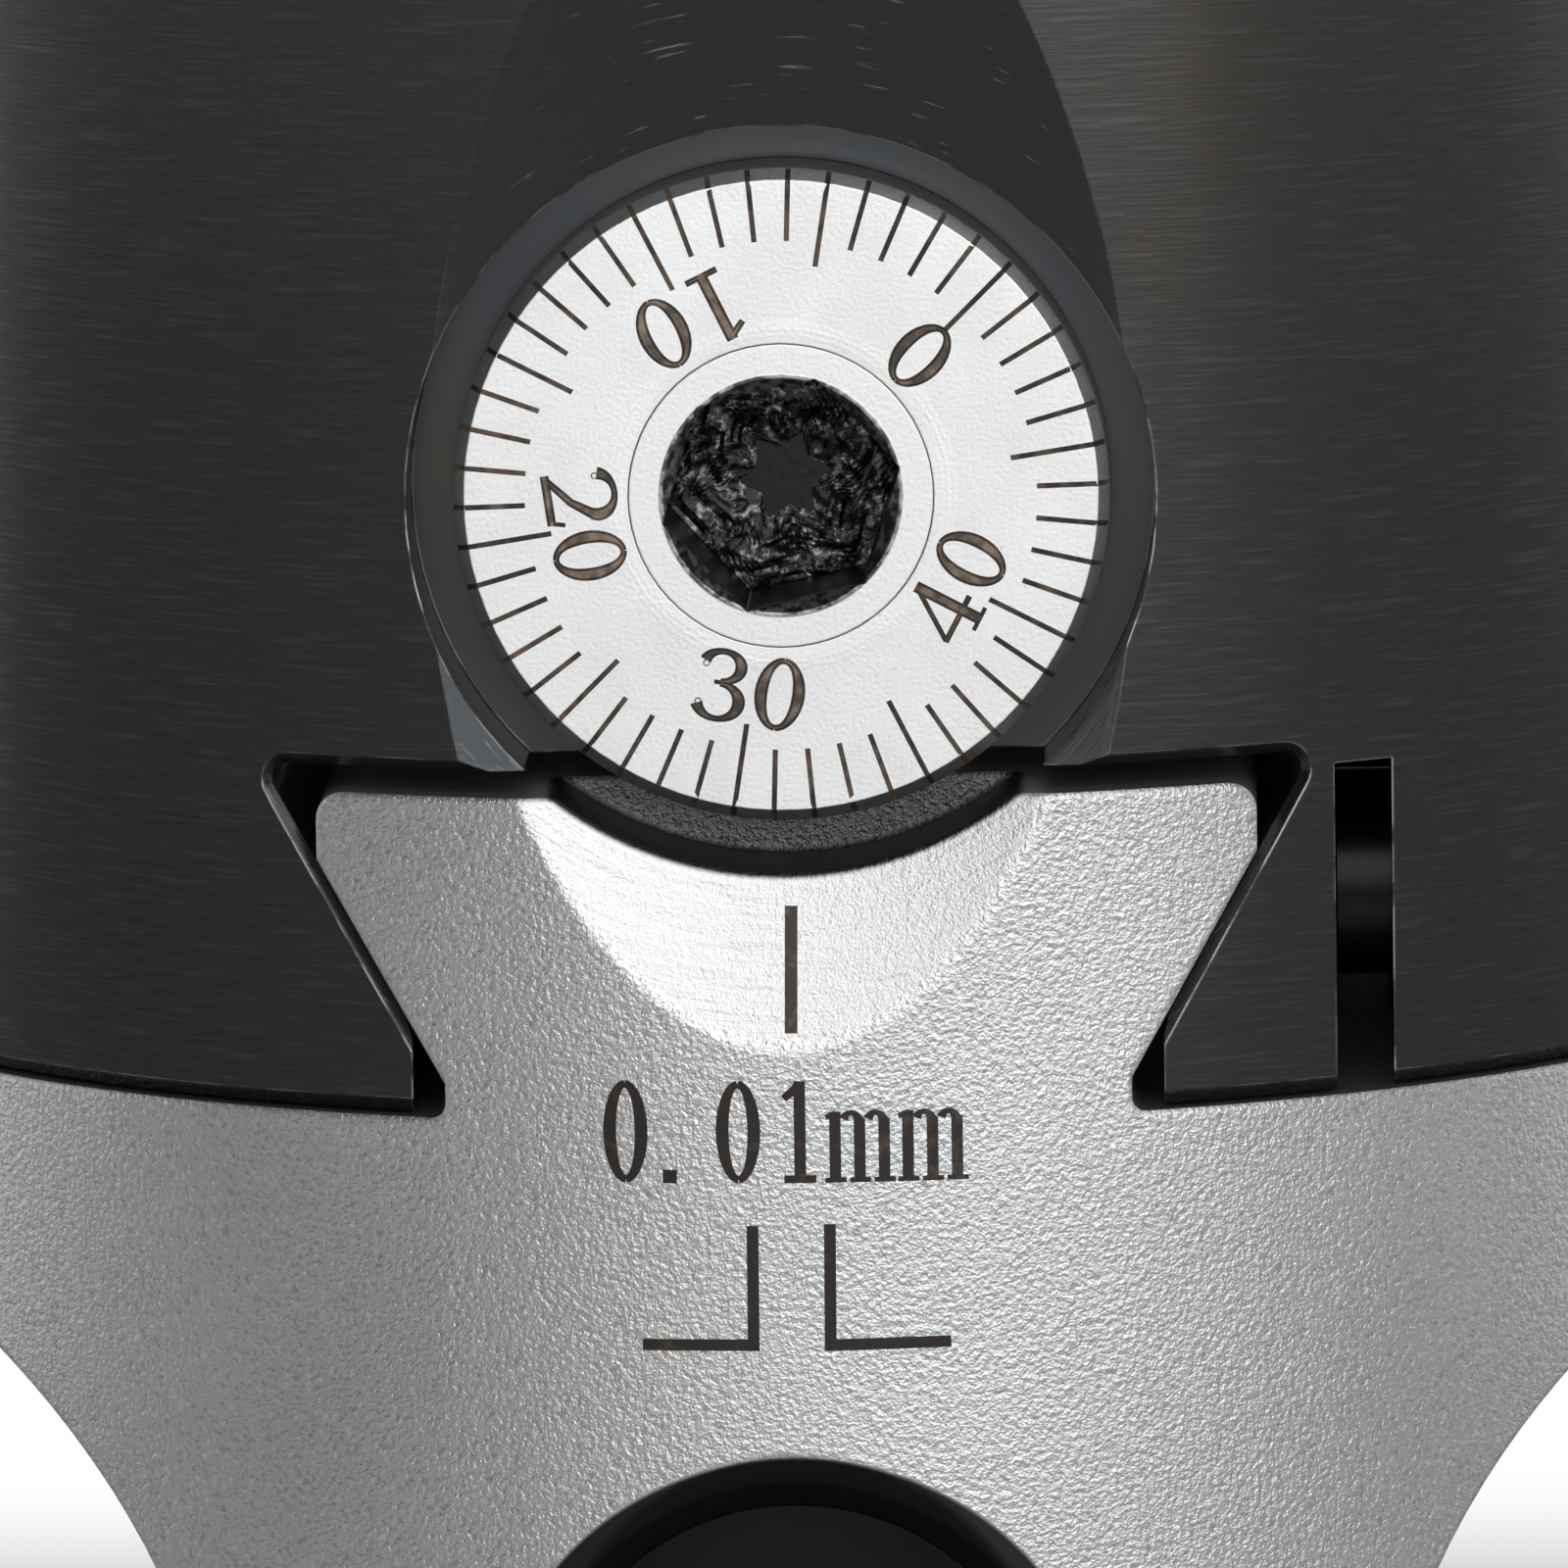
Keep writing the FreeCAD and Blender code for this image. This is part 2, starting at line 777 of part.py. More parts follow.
def lead_nut():
    """The bronze lead nut: a block round the screw, on a spigot set into the slide."""
    body = body_named("lead_nut", y="-(lead_nut_middle)")
    sketch = sketch_on(body, "nut_block", "XY_Plane", lift="male_top")
    outline(
        sketch,
        [
            ("-(lead_nut_width / 2)", "-(lead_nut_length / 2)"),
            ("lead_nut_width / 2", "-(lead_nut_length / 2)"),
            ("lead_nut_width / 2", "lead_nut_length / 2"),
            ("-(lead_nut_width / 2)", "lead_nut_length / 2"),
        ],
    )
    block = pad(body, sketch, "lead_nut_top - male_top")
    crown = along_y(value("lead_nut_width / 2"), value("lead_nut_top"))
    dress(body, "Chamfer", block, crown, "lead_nut_edge")
    sketch = sketch_on(body, "nut_spigot", "XY_Plane", lift="male_top")
    circle(sketch, "0", "0", "spigot_radius")
    pad(body, sketch, "spigot_length", reverse=True)
    sketch = sketch_on(body, "nut_thread", "XZ_Plane")
    circle(sketch, "0", "screw_height", "lead_radius + running_clearance")
    cut(body, sketch, "beyond", symmetric=True)
    return body


# ---------------------------------------------------------------- set screws


def set_screw(name, kind, turn, x, y, z):
    """A socket set screw whose own +Z runs from its tip to its socket."""
    body = body_named(name, turn, x=x, y=y, z=z)
    length = f"{kind}_screw_length"
    sketch = sketch_on(body, name + "_round", "XY_Plane")
    circle(sketch, "0", "0", f"{kind}_screw_radius")
    pad(body, sketch, length)
    sketch = sketch_on(body, name + "_socket", "XY_Plane", lift=length)
    hexagon(sketch, f"{kind}_screw_socket", "0")
    cut(body, sketch, f"{length} * socket_depth_share")
    return body


def set_screws():
    """The gib screws, the lock screw, the lead nut's screw and the tool screws."""
    height = "mouth + gib_screw_rise"
    tip = "jaw_face + end_play"
    screws = [
        set_screw("gib_screw_front", "gib", RIGHT, tip, "-(gib_screw_offset)", height),
        set_screw("gib_screw_rear", "gib", RIGHT, tip, "gib_screw_offset", height),
        set_screw("slide_lock_screw", "lock", RIGHT, tip, "0", height),
        set_screw(
            "lead_nut_screw",
            "nut",
            LEFT,
            "-(spigot_radius + seat_clearance)",
            "-(lead_nut_middle)",
            "nut_screw_height",
        ),
    ]
    for name, (place, level) in tool_screw_places().items():
        reach = "tool_radius + tool_screw_retreat"
        screws.append(set_screw(name, "tool", RIGHT, reach, place, level))
    return screws


# ---------------------------------------------------------------- build and write


def check_and_write(bodies):
    """Stops at a failed object or a bad shape, then writes one STEP file for each sub-part."""
    doc.recompute()
    for item in doc.Objects:
        if "Invalid" in item.State or "Error" in item.State:
            raise RuntimeError(f"{item.Name} failed: {item.State}")
    for body in bodies:
        shape = body.Shape
        if shape.isNull() or not shape.isValid() or len(shape.Solids) != 1:
            raise RuntimeError(f"{body.Label} isn't one valid solid")
    os.makedirs("parts", exist_ok=True)
    for body in bodies:
        body.Shape.exportStep(f"parts/{body.Label}.step")
        box = body.Shape.BoundBox
        print(
            f"{body.Label}: {body.Shape.Volume:.1f} mm3,",
            f"x {box.XMin:.2f} to {box.XMax:.2f}, y {box.YMin:.2f} to {box.YMax:.2f},",
            f"z {box.ZMin:.2f} to {box.ZMax:.2f}",
        )


def main():
    """Builds every sub-part."""
    bodies = [
        head_body(),
        tool_slide(),
        lead_screw(),
        graduated_dial(),
        ring(
            "thrust_washer",
            "journal_radius + running_clearance",
            "front_washer_radius",
            "front_seat",
            "front_washer_thickness",
        ),
        rear_bush(),
        ring(
            "rear_washer",
            "tail_radius + seat_clearance",
            "rear_washer_radius",
            "-(thrust_nut_place)",
            "rear_washer_thickness",
        ),
        tail_nut("thrust_nut", "thrust_nut_place", "thrust_nut_thickness", "0"),
        tail_nut("jam_nut", "jam_nut_place", "jam_nut_thickness", "17"),
        lead_nut(),
    ]
    bodies += set_screws()
    check_and_write(bodies)


main()
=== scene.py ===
"""The finish, marks and studio of a 50 mm boring head, set round its fixed frame.

Every length is in metres, in the frame's own axes: +Z up, the dial faces -Y, and the slide travels
towards +Y. The head is black oxide steel, the tool slide and the dial are blasted bright steel.
"""

import json
import logging
import math
from dataclasses import dataclass
from enum import Enum

import bpy
from mathutils import Matrix, Vector
from mathutils.bvhtree import BVHTree
from mathutils.geometry import delaunay_2d_cdt

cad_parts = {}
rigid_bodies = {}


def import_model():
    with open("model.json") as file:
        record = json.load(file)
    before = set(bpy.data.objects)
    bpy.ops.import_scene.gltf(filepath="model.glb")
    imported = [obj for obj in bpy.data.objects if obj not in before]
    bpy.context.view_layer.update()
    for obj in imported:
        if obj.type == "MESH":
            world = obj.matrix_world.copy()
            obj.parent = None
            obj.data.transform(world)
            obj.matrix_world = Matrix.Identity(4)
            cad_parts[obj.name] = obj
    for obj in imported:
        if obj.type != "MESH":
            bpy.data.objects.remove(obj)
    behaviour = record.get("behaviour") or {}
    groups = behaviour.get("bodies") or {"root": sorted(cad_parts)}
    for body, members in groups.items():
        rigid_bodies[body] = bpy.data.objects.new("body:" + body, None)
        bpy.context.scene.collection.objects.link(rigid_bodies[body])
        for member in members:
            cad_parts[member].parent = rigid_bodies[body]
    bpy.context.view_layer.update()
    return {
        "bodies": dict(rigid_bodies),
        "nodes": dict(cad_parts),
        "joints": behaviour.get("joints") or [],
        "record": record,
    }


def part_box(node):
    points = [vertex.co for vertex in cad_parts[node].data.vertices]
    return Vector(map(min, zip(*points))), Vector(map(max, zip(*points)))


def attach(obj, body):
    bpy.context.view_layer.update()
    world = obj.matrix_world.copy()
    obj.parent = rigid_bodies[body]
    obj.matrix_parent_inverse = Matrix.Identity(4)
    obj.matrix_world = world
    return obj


LOG = logging.getLogger("boring_head")
MM = 0.001


class Body(Enum):
    """The moving groups of the head that scene pieces ride on."""

    HEAD = "head"
    DIAL = "dial"
    SLIDE = "slide"


# ---------------------------------------------------------------- shader expressions


class Signal:
    """A number that varies over a surface, written with ordinary arithmetic."""

    def __init__(self, tree: "Shading", socket: bpy.types.NodeSocket) -> None:
        """Wraps one output socket of a shading tree."""
        self.tree = tree
        self.socket = socket

    def _math(self, operation: str, *values: "Signal | float") -> "Signal":
        """Adds one Math node.

        Args:
            operation: The Math node's operation.
            values: Its inputs in order, as signals or numbers.

        Returns:
            The node's result.
        """
        node = self.tree.add("ShaderNodeMath", {"operation": operation}, values)
        return Signal(self.tree, node.outputs[0])

    def __add__(self, other: "Signal | float") -> "Signal":
        """Sum."""
        return self._math("ADD", self, other)

    __radd__ = __add__

    def __sub__(self, other: "Signal | float") -> "Signal":
        """Difference."""
        return self._math("SUBTRACT", self, other)

    def __rsub__(self, other: "Signal | float") -> "Signal":
        """Difference from a number on the left."""
        return self._math("SUBTRACT", other, self)

    def __mul__(self, other: "Signal | float") -> "Signal":
        """Product."""
        return self._math("MULTIPLY", self, other)

    __rmul__ = __mul__

    def __truediv__(self, other: "Signal | float") -> "Signal":
        """Quotient."""
        return self._math("DIVIDE", self, other)

    def __rtruediv__(self, other: "Signal | float") -> "Signal":
        """A number on the left divided by this signal."""
        return self._math("DIVIDE", other, self)

    def __pow__(self, power: "Signal | float") -> "Signal":
        """Power."""
        return self._math("POWER", self, power)

    def __neg__(self) -> "Signal":
        """The signal with its sign turned."""
        return self._math("MULTIPLY", self, -1.0)

    def larger(self, other: "Signal | float") -> "Signal":
        """The larger of two."""
        return self._math("MAXIMUM", self, other)

    def smaller(self, other: "Signal | float") -> "Signal":
        """The smaller of two."""
        return self._math("MINIMUM", self, other)

    def root(self) -> "Signal":
        """Square root."""
        return self._math("SQRT", self)

    def size(self) -> "Signal":
        """Absolute value."""
        return self._math("ABSOLUTE", self)

    def bearing(self, other: "Signal") -> "Signal":
        """The angle in radians whose sine goes with this signal and whose cosine with the other."""
        return self._math("ARCTAN2", self, other)

    def rise(self, low: float, high: float) -> "Signal":
        """A smooth step from 0 at the low value to 1 at the high value, or back if low is above high."""
        node = self.tree.add(
            "ShaderNodeMapRange",
            {"interpolation_type": "SMOOTHSTEP", "clamp": True},
            {"Value": self, "From Min": low, "From Max": high},
        )
        return Signal(self.tree, node.outputs["Result"])


class Shading:
    """One material's node tree, built by expressions."""

    def __init__(self, name: str) -> None:
        """Starts an empty material of that name."""
        self.material = bpy.data.materials.new(name)
        self.material.use_nodes = True
        self.nodes = self.material.node_tree.nodes
        self.links = self.material.node_tree.links
        self.nodes.clear()
        self.place = self.add("ShaderNodeTexCoord", {}, {}).outputs["Object"]

    def add(self, kind: str, settings: dict, inputs: "dict | tuple | list") -> bpy.types.Node:
        """Adds any node.

        Args:
            kind: The node's type name.
            settings: Its own properties, which are set first. A list under "stops" fills its ramp.
            inputs: Numbers, colours, sockets or signals by socket name or in order. None is skipped.

        Returns:
            The new node.
        """
        node = self.nodes.new(kind)
        for name, setting in settings.items():
            if name == "stops":
                self._fill_ramp(node.color_ramp, setting)
            else:
                setattr(node, name, setting)
        pairs = inputs.items() if isinstance(inputs, dict) else enumerate(inputs)
        for key, given in pairs:
            if given is None:
                continue
            socket = node.inputs[key]
            if isinstance(given, Signal):
                self.links.new(given.socket, socket)
            elif isinstance(given, bpy.types.NodeSocket):
                self.links.new(given, socket)
            else:
                socket.default_value = given
        return node

    @staticmethod
    def _fill_ramp(ramp: bpy.types.ColorRamp, stops: list) -> None:
        """Gives a colour ramp its stops, each a place and a colour."""
        while len(ramp.elements) < len(stops):
            ramp.elements.new(0.5)
        for element, (place, colour) in zip(ramp.elements, stops):
            element.position = place
            element.color = colour

    def signal(self, kind: str, settings: dict, inputs: "dict | tuple", output: str) -> Signal:
        """One number output of a new node, as a signal."""
        return Signal(self, self.add(kind, settings, inputs).outputs[output])

    def axes(self) -> tuple:
        """The surface point's three coordinates, as signals."""
        split = self.add("ShaderNodeSeparateXYZ", {}, (self.place,))
        return tuple(Signal(self, socket) for socket in split.outputs)

    def point(self, x: "Signal | float", y: "Signal | float", z: "Signal | float") -> bpy.types.NodeSocket:
        """A vector from three numbers or signals."""
        return self.add("ShaderNodeCombineXYZ", {}, (x, y, z)).outputs[0]

    def noise(self, scale: float, detail: float = 2.0, where: bpy.types.NodeSocket = None) -> Signal:
        """Soft noise of so many features to the metre, from 0 to 1."""
        inputs = {"Vector": where or self.place, "Scale": scale, "Detail": detail}
        return self.signal("ShaderNodeTexNoise", {}, inputs, "Fac")

    def edge(self, radius: float, samples: int = 6) -> Signal:
        """How sharply the surface turns within a radius: 0 on flat stretches, towards 1 at an edge."""
        settings = {"samples": samples}
        soft = self.add("ShaderNodeBevel", settings, {"Radius": radius}).outputs[0]
        hard = self.add("ShaderNodeNewGeometry", {}, {}).outputs["True Normal"]
        dot = self.add("ShaderNodeVectorMath", {"operation": "DOT_PRODUCT"}, (soft, hard))
        return 1.0 - Signal(self, dot.outputs["Value"])

    def mix(self, share: "Signal | float", first: object, second: object) -> bpy.types.NodeSocket:
        """A colour between two, by a share from 0 to 1."""
        node = self.add("ShaderNodeMix", {"data_type": "RGBA"}, {"Factor": share})
        for index, colour in ((6, first), (7, second)):
            if isinstance(colour, bpy.types.NodeSocket):
                self.links.new(colour, node.inputs[index])
            else:
                node.inputs[index].default_value = colour
        return node.outputs[2]

    def bump(self, height: Signal, depth: float, normal: bpy.types.NodeSocket = None) -> bpy.types.NodeSocket:
        """A normal that shows a height signal, where 1 stands for the depth in metres."""
        inputs = {"Height": height, "Distance": depth, "Strength": 1.0, "Normal": normal}
        return self.add("ShaderNodeBump", {}, inputs).outputs[0]

    def soft_normal(self, radius: float, samples: int = 6) -> bpy.types.NodeSocket:
        """The surface's normal with its edges eased over a radius."""
        return self.add("ShaderNodeBevel", {"samples": samples}, {"Radius": radius}).outputs[0]

    def finish(self, **sockets: object) -> bpy.types.Material:
        """Closes the tree with a Principled shader whose sockets are named with underscores for spaces."""
        named = {key.replace("_", " "): given for key, given in sockets.items()}
        shader = self.add("ShaderNodeBsdfPrincipled", {}, named)
        self.add("ShaderNodeOutputMaterial", {}, {"Surface": shader.outputs[0]})
        return self.material


def grey(level: float, warmth: float = 0.0) -> tuple:
    """A near-neutral colour, with red raised and blue lowered by the warmth."""
    return (level * (1 + warmth), level, level * (1 - warmth), 1.0)


# ---------------------------------------------------------------- layout


@dataclass(frozen=True)
class Layout:
    """The places that the finishes and marks are set out from, read from the frame."""

    dial_height: float
    dial_front: float
    barrel: float
    mouth: float
    top: float
    pocket: float = 8.85 * MM
    cross_height: float = 11.5 * MM
    tool_radius: float = 6.0 * MM
    tool_offset: float = 16.0 * MM

    @classmethod
    def read(cls) -> "Layout":
        """Reads the places from the frame's own boxes."""
        low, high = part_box("graduated_dial")
        body_low, body_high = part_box("head_body")
        return cls((low.z + high.z) / 2, low.y, body_high.x, body_low.z, body_high.z)


# ---------------------------------------------------------------- finishes


@dataclass(frozen=True)
class BlackOxide:
    """Blackened turned steel: fine turning lines, tool marks in the scoop and bright worn edges."""

    layout: Layout
    name: str = "black oxide steel"
    level: float = 0.05
    metallic: float = 0.85
    roughness: float = 0.22
    wear_width: float = 0.11 * MM

    def build(self) -> bpy.types.Material:
        """Builds the material."""
        s = Shading(self.name)
        x, y, z = s.axes()
        up = z - self.layout.dial_height
        radius = (x * x + y * y).root()
        from_dial = (x * x + up * up).root()
        skin = radius.rise(24.9 * MM, 24.96 * MM)
        front = y.rise(-17 * MM, -19 * MM)
        scoop = (1.0 - skin) * front * from_dial.rise(self.layout.pocket, self.layout.pocket + 0.15 * MM)
        lines = s.noise(1.0, 3.0, s.point(x * 650.0, y * 650.0, z * 11000.0))
        arcs = s.noise(1.0, 3.0, s.point(from_dial * 9000.0, x.bearing(up) * 7.0, 0.0))
        scratches = arcs.rise(0.6, 0.74) * s.noise(900.0).rise(0.48, 0.62) * scoop
        patches = s.noise(140.0, 3.0)
        edge = s.edge(self.wear_width)
        rub = s.noise(900.0, 4.0).rise(0.40, 0.58)
        worn = (edge.rise(0.03, 0.12) * rub).smaller(1.0)
        tint = s.mix(patches.rise(0.4, 0.62), grey(self.level, 0.09), grey(self.level, -0.08))
        shade = s.mix(skin * lines.rise(0.5, 0.75) * 0.5, tint, grey(self.level * 1.9, 0.03))
        scored = s.mix(scratches * 0.75, shade, grey(0.26))
        colour = s.mix(worn, scored, grey(0.42, 0.03))
        rough = self.roughness + (lines - 0.5) * 0.16 * skin + scratches * 0.1 - worn * 0.04
        relief = lines * skin * 0.5 + arcs * scoop
        normal = s.bump(relief, 0.0045 * MM, s.soft_normal(0.08 * MM))
        metal = self.metallic + worn * (1.0 - self.metallic)
        return s.finish(Base_Color=colour, Roughness=rough, Metallic=metal, Normal=normal)


@dataclass(frozen=True)
class BlastedSteel:
    """Bright steel blasted to a sparkling grain, with a cut scoop, a milled pocket, and painted shade on the
    pocket's wall and in the bores.
    """

    layout: Layout
    name: str = "blasted steel"
    level: float = 0.66
    roughness: float = 0.36
    ease: float = 0.27 * MM

    def build(self) -> bpy.types.Material:
        """Builds the material."""
        s = Shading(self.name)
        x, y, z = s.axes()
        up = z - self.layout.dial_height
        radius = (x * x + y * y).root()
        from_dial = (x * x + up * up).root()
        skin = radius.rise(24.9 * MM, 24.96 * MM)
        front = y.rise(-17 * MM, -19 * MM)
        inside = from_dial.rise(self.layout.pocket + 0.2 * MM, self.layout.pocket + 0.04 * MM) * front
        cut = (1.0 - skin) * front * z.rise(27 * MM, 28 * MM) * (1.0 - inside)
        # The pocket's wall near its mouth, which is given painted shade below.
        wall_shade = inside * y.rise(-20.3 * MM, -20.5 * MM)
        floor = inside - wall_shade
        grain = s.noise(7200.0, 2.0)
        fine = s.noise(17000.0, 1.0)
        arcs = s.noise(1.0, 2.0, s.point(from_dial * 4200.0, x.bearing(up) * 3.5, y * 300.0))
        bore_shade = self._painted_bore_shade(s, x, y, z)
        patches = s.noise(110.0, 3.0)
        tint = s.mix(patches.rise(0.35, 0.65), grey(self.level, 0.012), grey(self.level * 0.95, -0.02))
        sparkle = s.mix(grain.rise(0.56, 0.74) * 0.6, tint, grey(0.9))
        pitted = s.mix(grain.rise(0.44, 0.3) * 0.55 * (1.0 - cut), sparkle, grey(0.36))
        cleared = s.mix(cut * 0.75, pitted, grey(0.6))
        # Painted shade: the pocket's wall and the bores are coloured near black, where shade falls in them.
        with_painted_shade = s.mix((bore_shade + wall_shade).smaller(1.0), cleared, grey(0.03, 0.04))
        relief = grain * (1.0 - cut * 0.65) + fine * 0.3 + arcs * cut * 0.8 + fine * floor * 1.4
        depth = 0.04 * MM
        normal = s.bump(relief * (1.0 - bore_shade), depth, s.soft_normal(self.ease))
        rough = self.roughness + bore_shade * 0.1 + cut * 0.04
        return s.finish(Base_Color=with_painted_shade, Roughness=rough, Metallic=1.0, Normal=normal)

    def _painted_bore_shade(self, s: Shading, x: Signal, y: Signal, z: Signal) -> Signal:
        """Where the surface is inside one of the bores, whose mouths and walls get painted shade.

        Args:
            s: The shading tree; not used.
            x: The point's place across the slide.
            y: The point's place along the slide's travel.
            z: The point's height.

        Returns:
            1 inside a bore, 0 elsewhere.
        """
        layout = self.layout
        rise = z - layout.cross_height
        across = (x * x + rise * rise).root()
        cross = across.rise(7.42 * MM, 7.3 * MM) * y.rise(-6 * MM, -8 * MM)
        total = cross
        for offset in (0.0, layout.tool_offset):
            along = y - offset
            centred = (x * x + along * along).root()
            reach = layout.tool_radius
            total = total + centred.rise(reach + 0.12 * MM, reach + 0.04 * MM) * z.rise(26 * MM, 25.5 * MM)
        return total.smaller(1.0)


@dataclass(frozen=True)
class SatinDial:
    """Pale satin chrome with a very fine grain and faint turned rings."""

    layout: Layout
    name: str = "satin dial chrome"
    level: float = 0.84
    roughness: float = 0.42

    def build(self) -> bpy.types.Material:
        """Builds the material."""
        s = Shading(self.name)
        x, _, z = s.axes()
        up = z - self.layout.dial_height
        from_axis = (x * x + up * up).root()
        ring = (from_axis - 3.95 * MM).size().rise(0.35 * MM, 0.0)
        grain = s.noise(9000.0, 3.0)
        turned = s.noise(1.0, 2.0, s.point(from_axis * 7000.0, 0.0, 0.0))
        cloud = s.noise(500.0, 3.0)
        base = s.mix(cloud.rise(0.3, 0.7), grey(self.level, -0.005), grey(self.level * 0.93, 0.004))
        specked = s.mix(grain.rise(0.36, 0.24) * 0.8, base, grey(0.5))
        colour = s.mix(ring * turned * 0.35, specked, grey(0.95))
        normal = s.bump(grain + turned * ring * 0.8, 0.006 * MM, s.soft_normal(0.05 * MM))
        rough = self.roughness + (grain - 0.5) * 0.12
        return s.finish(Base_Color=colour, Roughness=rough, Metallic=1.0, Normal=normal)


@dataclass(frozen=True)
class ScrewSteel:
    """The lead screw: satin boss, broached socket with painted shade deep inside, ground journal and bright
    thread.
    """

    layout: Layout
    name: str = "lead screw steel"
    socket: float = 2.86 * MM

    def build(self) -> bpy.types.Material:
        """Builds the material."""
        s = Shading(self.name)
        x, y, z = s.axes()
        up = z - self.layout.dial_height
        from_axis = (x * x + up * up).root()
        grain = s.noise(9000.0, 3.0)
        chips = s.noise(3800.0, 4.0)
        depth = y - self.layout.dial_front
        hollow = from_axis.rise(self.socket + 0.05 * MM, self.socket) * depth.rise(4.3 * MM, 4.2 * MM)
        socket_shade = hollow * depth.rise(0.25 * MM, 0.45 * MM)
        lip = hollow - socket_shade
        bright = s.mix(grain.rise(0.36, 0.24) * 0.8, grey(0.82), grey(0.5))
        rim = s.mix(chips.rise(0.4, 0.65), grey(0.07), grey(0.4))
        # Painted shade: deep in the socket the colour is near black, where shade falls.
        colour = s.mix(socket_shade, s.mix(lip, bright, rim), grey(0.005, 0.05))
        normal = s.bump(grain * (1.0 - hollow) + chips * hollow * 2.0, 0.006 * MM, s.soft_normal(0.06 * MM))
        rough = 0.42 - hollow * 0.08
        return s.finish(Base_Color=colour, Roughness=rough, Metallic=1.0 - socket_shade * 0.5, Normal=normal)


@dataclass(frozen=True)
class BroachedFloor:
    """The torn, glinting floor of a broached key socket, coloured near black as painted shade."""

    name: str = "broached floor"

    def build(self) -> bpy.types.Material:
        """Builds the material."""
        s = Shading(self.name)
        chips = s.noise(5200.0, 4.0)
        torn = s.noise(2300.0, 3.0)
        # Painted shade: the deep floor is near black, flecked lighter where torn.
        colour = s.mix(chips.rise(0.45, 0.68) * torn.rise(0.38, 0.6), grey(0.03), grey(0.3))
        normal = s.bump(chips + torn, 0.05 * MM)
        return s.finish(Base_Color=colour, Roughness=0.32, Metallic=0.9, Normal=normal)


@dataclass(frozen=True)
class BurntMark:
    """A dark brown mark burnt into bright steel, uneven in depth."""

    name: str = "burnt mark"
    dark: tuple = (0.022, 0.014, 0.01, 1.0)
    pale: tuple = (0.13, 0.09, 0.06, 1.0)
    bias: float = 0.5

    def build(self) -> bpy.types.Material:
        """Builds the material."""
        s = Shading(self.name)
        scorch = s.noise(2600.0, 4.0) * 0.6 + s.noise(420.0, 2.0) * 0.4
        colour = s.mix(scorch.rise(self.bias - 0.1, self.bias + 0.16), self.dark, self.pale)
        normal = s.bump(s.noise(9000.0, 2.0), 0.008 * MM)
        return s.finish(Base_Color=colour, Roughness=0.55, Metallic=0.25, Normal=normal)


@dataclass(frozen=True)
class TurnedMetal:
    """A small turned or ground part with fine lines and lighter edges."""

    name: str
    colour: tuple
    edge_colour: tuple
    roughness: float = 0.3
    lines: float = 9000.0

    def build(self) -> bpy.types.Material:
        """Builds the material."""
        s = Shading(self.name)
        x, y, z = s.axes()
        marks = s.noise(1.0, 2.0, s.point(x * 900.0, y * self.lines, z * 900.0))
        stain = s.noise(700.0, 3.0)
        worn = s.edge(0.1 * MM).rise(0.05, 0.2) * stain.rise(0.35, 0.6)
        shade = s.mix(stain.rise(0.3, 0.75) * 0.5, self.colour, tuple(c * 0.6 for c in self.colour[:3]) + (1.0,))
        colour = s.mix(worn, shade, self.edge_colour)
        normal = s.bump(marks, 0.004 * MM, s.soft_normal(0.06 * MM))
        rough = self.roughness + (marks - 0.5) * 0.15
        return s.finish(Base_Color=colour, Roughness=rough, Metallic=1.0, Normal=normal)


# ---------------------------------------------------------------- marks


def bar(x0: float, y0: float, x1: float, y1: float, width: float) -> list:
    """A straight stroke between two points, as its centre line with half widths."""
    return [(x0, y0, width / 2), (x1, y1, width / 2)]


def bow(cx: float, cy: float, rx: float, ry: float, start: float, end: float, thin: float, thick: float) -> list:
    """A curved stroke along an ellipse, thick where it runs upright and thin where it runs level.

    Args:
        cx: The ellipse's middle, across.
        cy: The ellipse's middle, up.
        rx: Half its width.
        ry: Half its height.
        start: The first angle in degrees.
        end: The last angle in degrees.
        thin: The stroke's least width.
        thick: The stroke's most width.

    Returns:
        The centre line's points with half widths.
    """
    steps = max(6, int(abs(end - start) / 10))
    points = []
    for step in range(steps + 1):
        a = math.radians(start + (end - start) * step / steps)
        half = (thin + (thick - thin) * math.cos(a) ** 2) / 2
        points.append((cx + rx * math.cos(a), cy + ry * math.sin(a), half))
    return points


def ribbon(stroke: list) -> list:
    """The closed outline of a stroke."""
    left = []
    right = []
    last = len(stroke) - 1
    for i, (x, y, half) in enumerate(stroke):
        ahead = stroke[min(i + 1, last)]
        behind = stroke[max(i - 1, 0)]
        along = Vector((ahead[0] - behind[0], ahead[1] - behind[1])).normalized()
        left.append((x - along.y * half, y + along.x * half))
        right.append((x + along.y * half, y - along.x * half))
    return right + left[::-1]


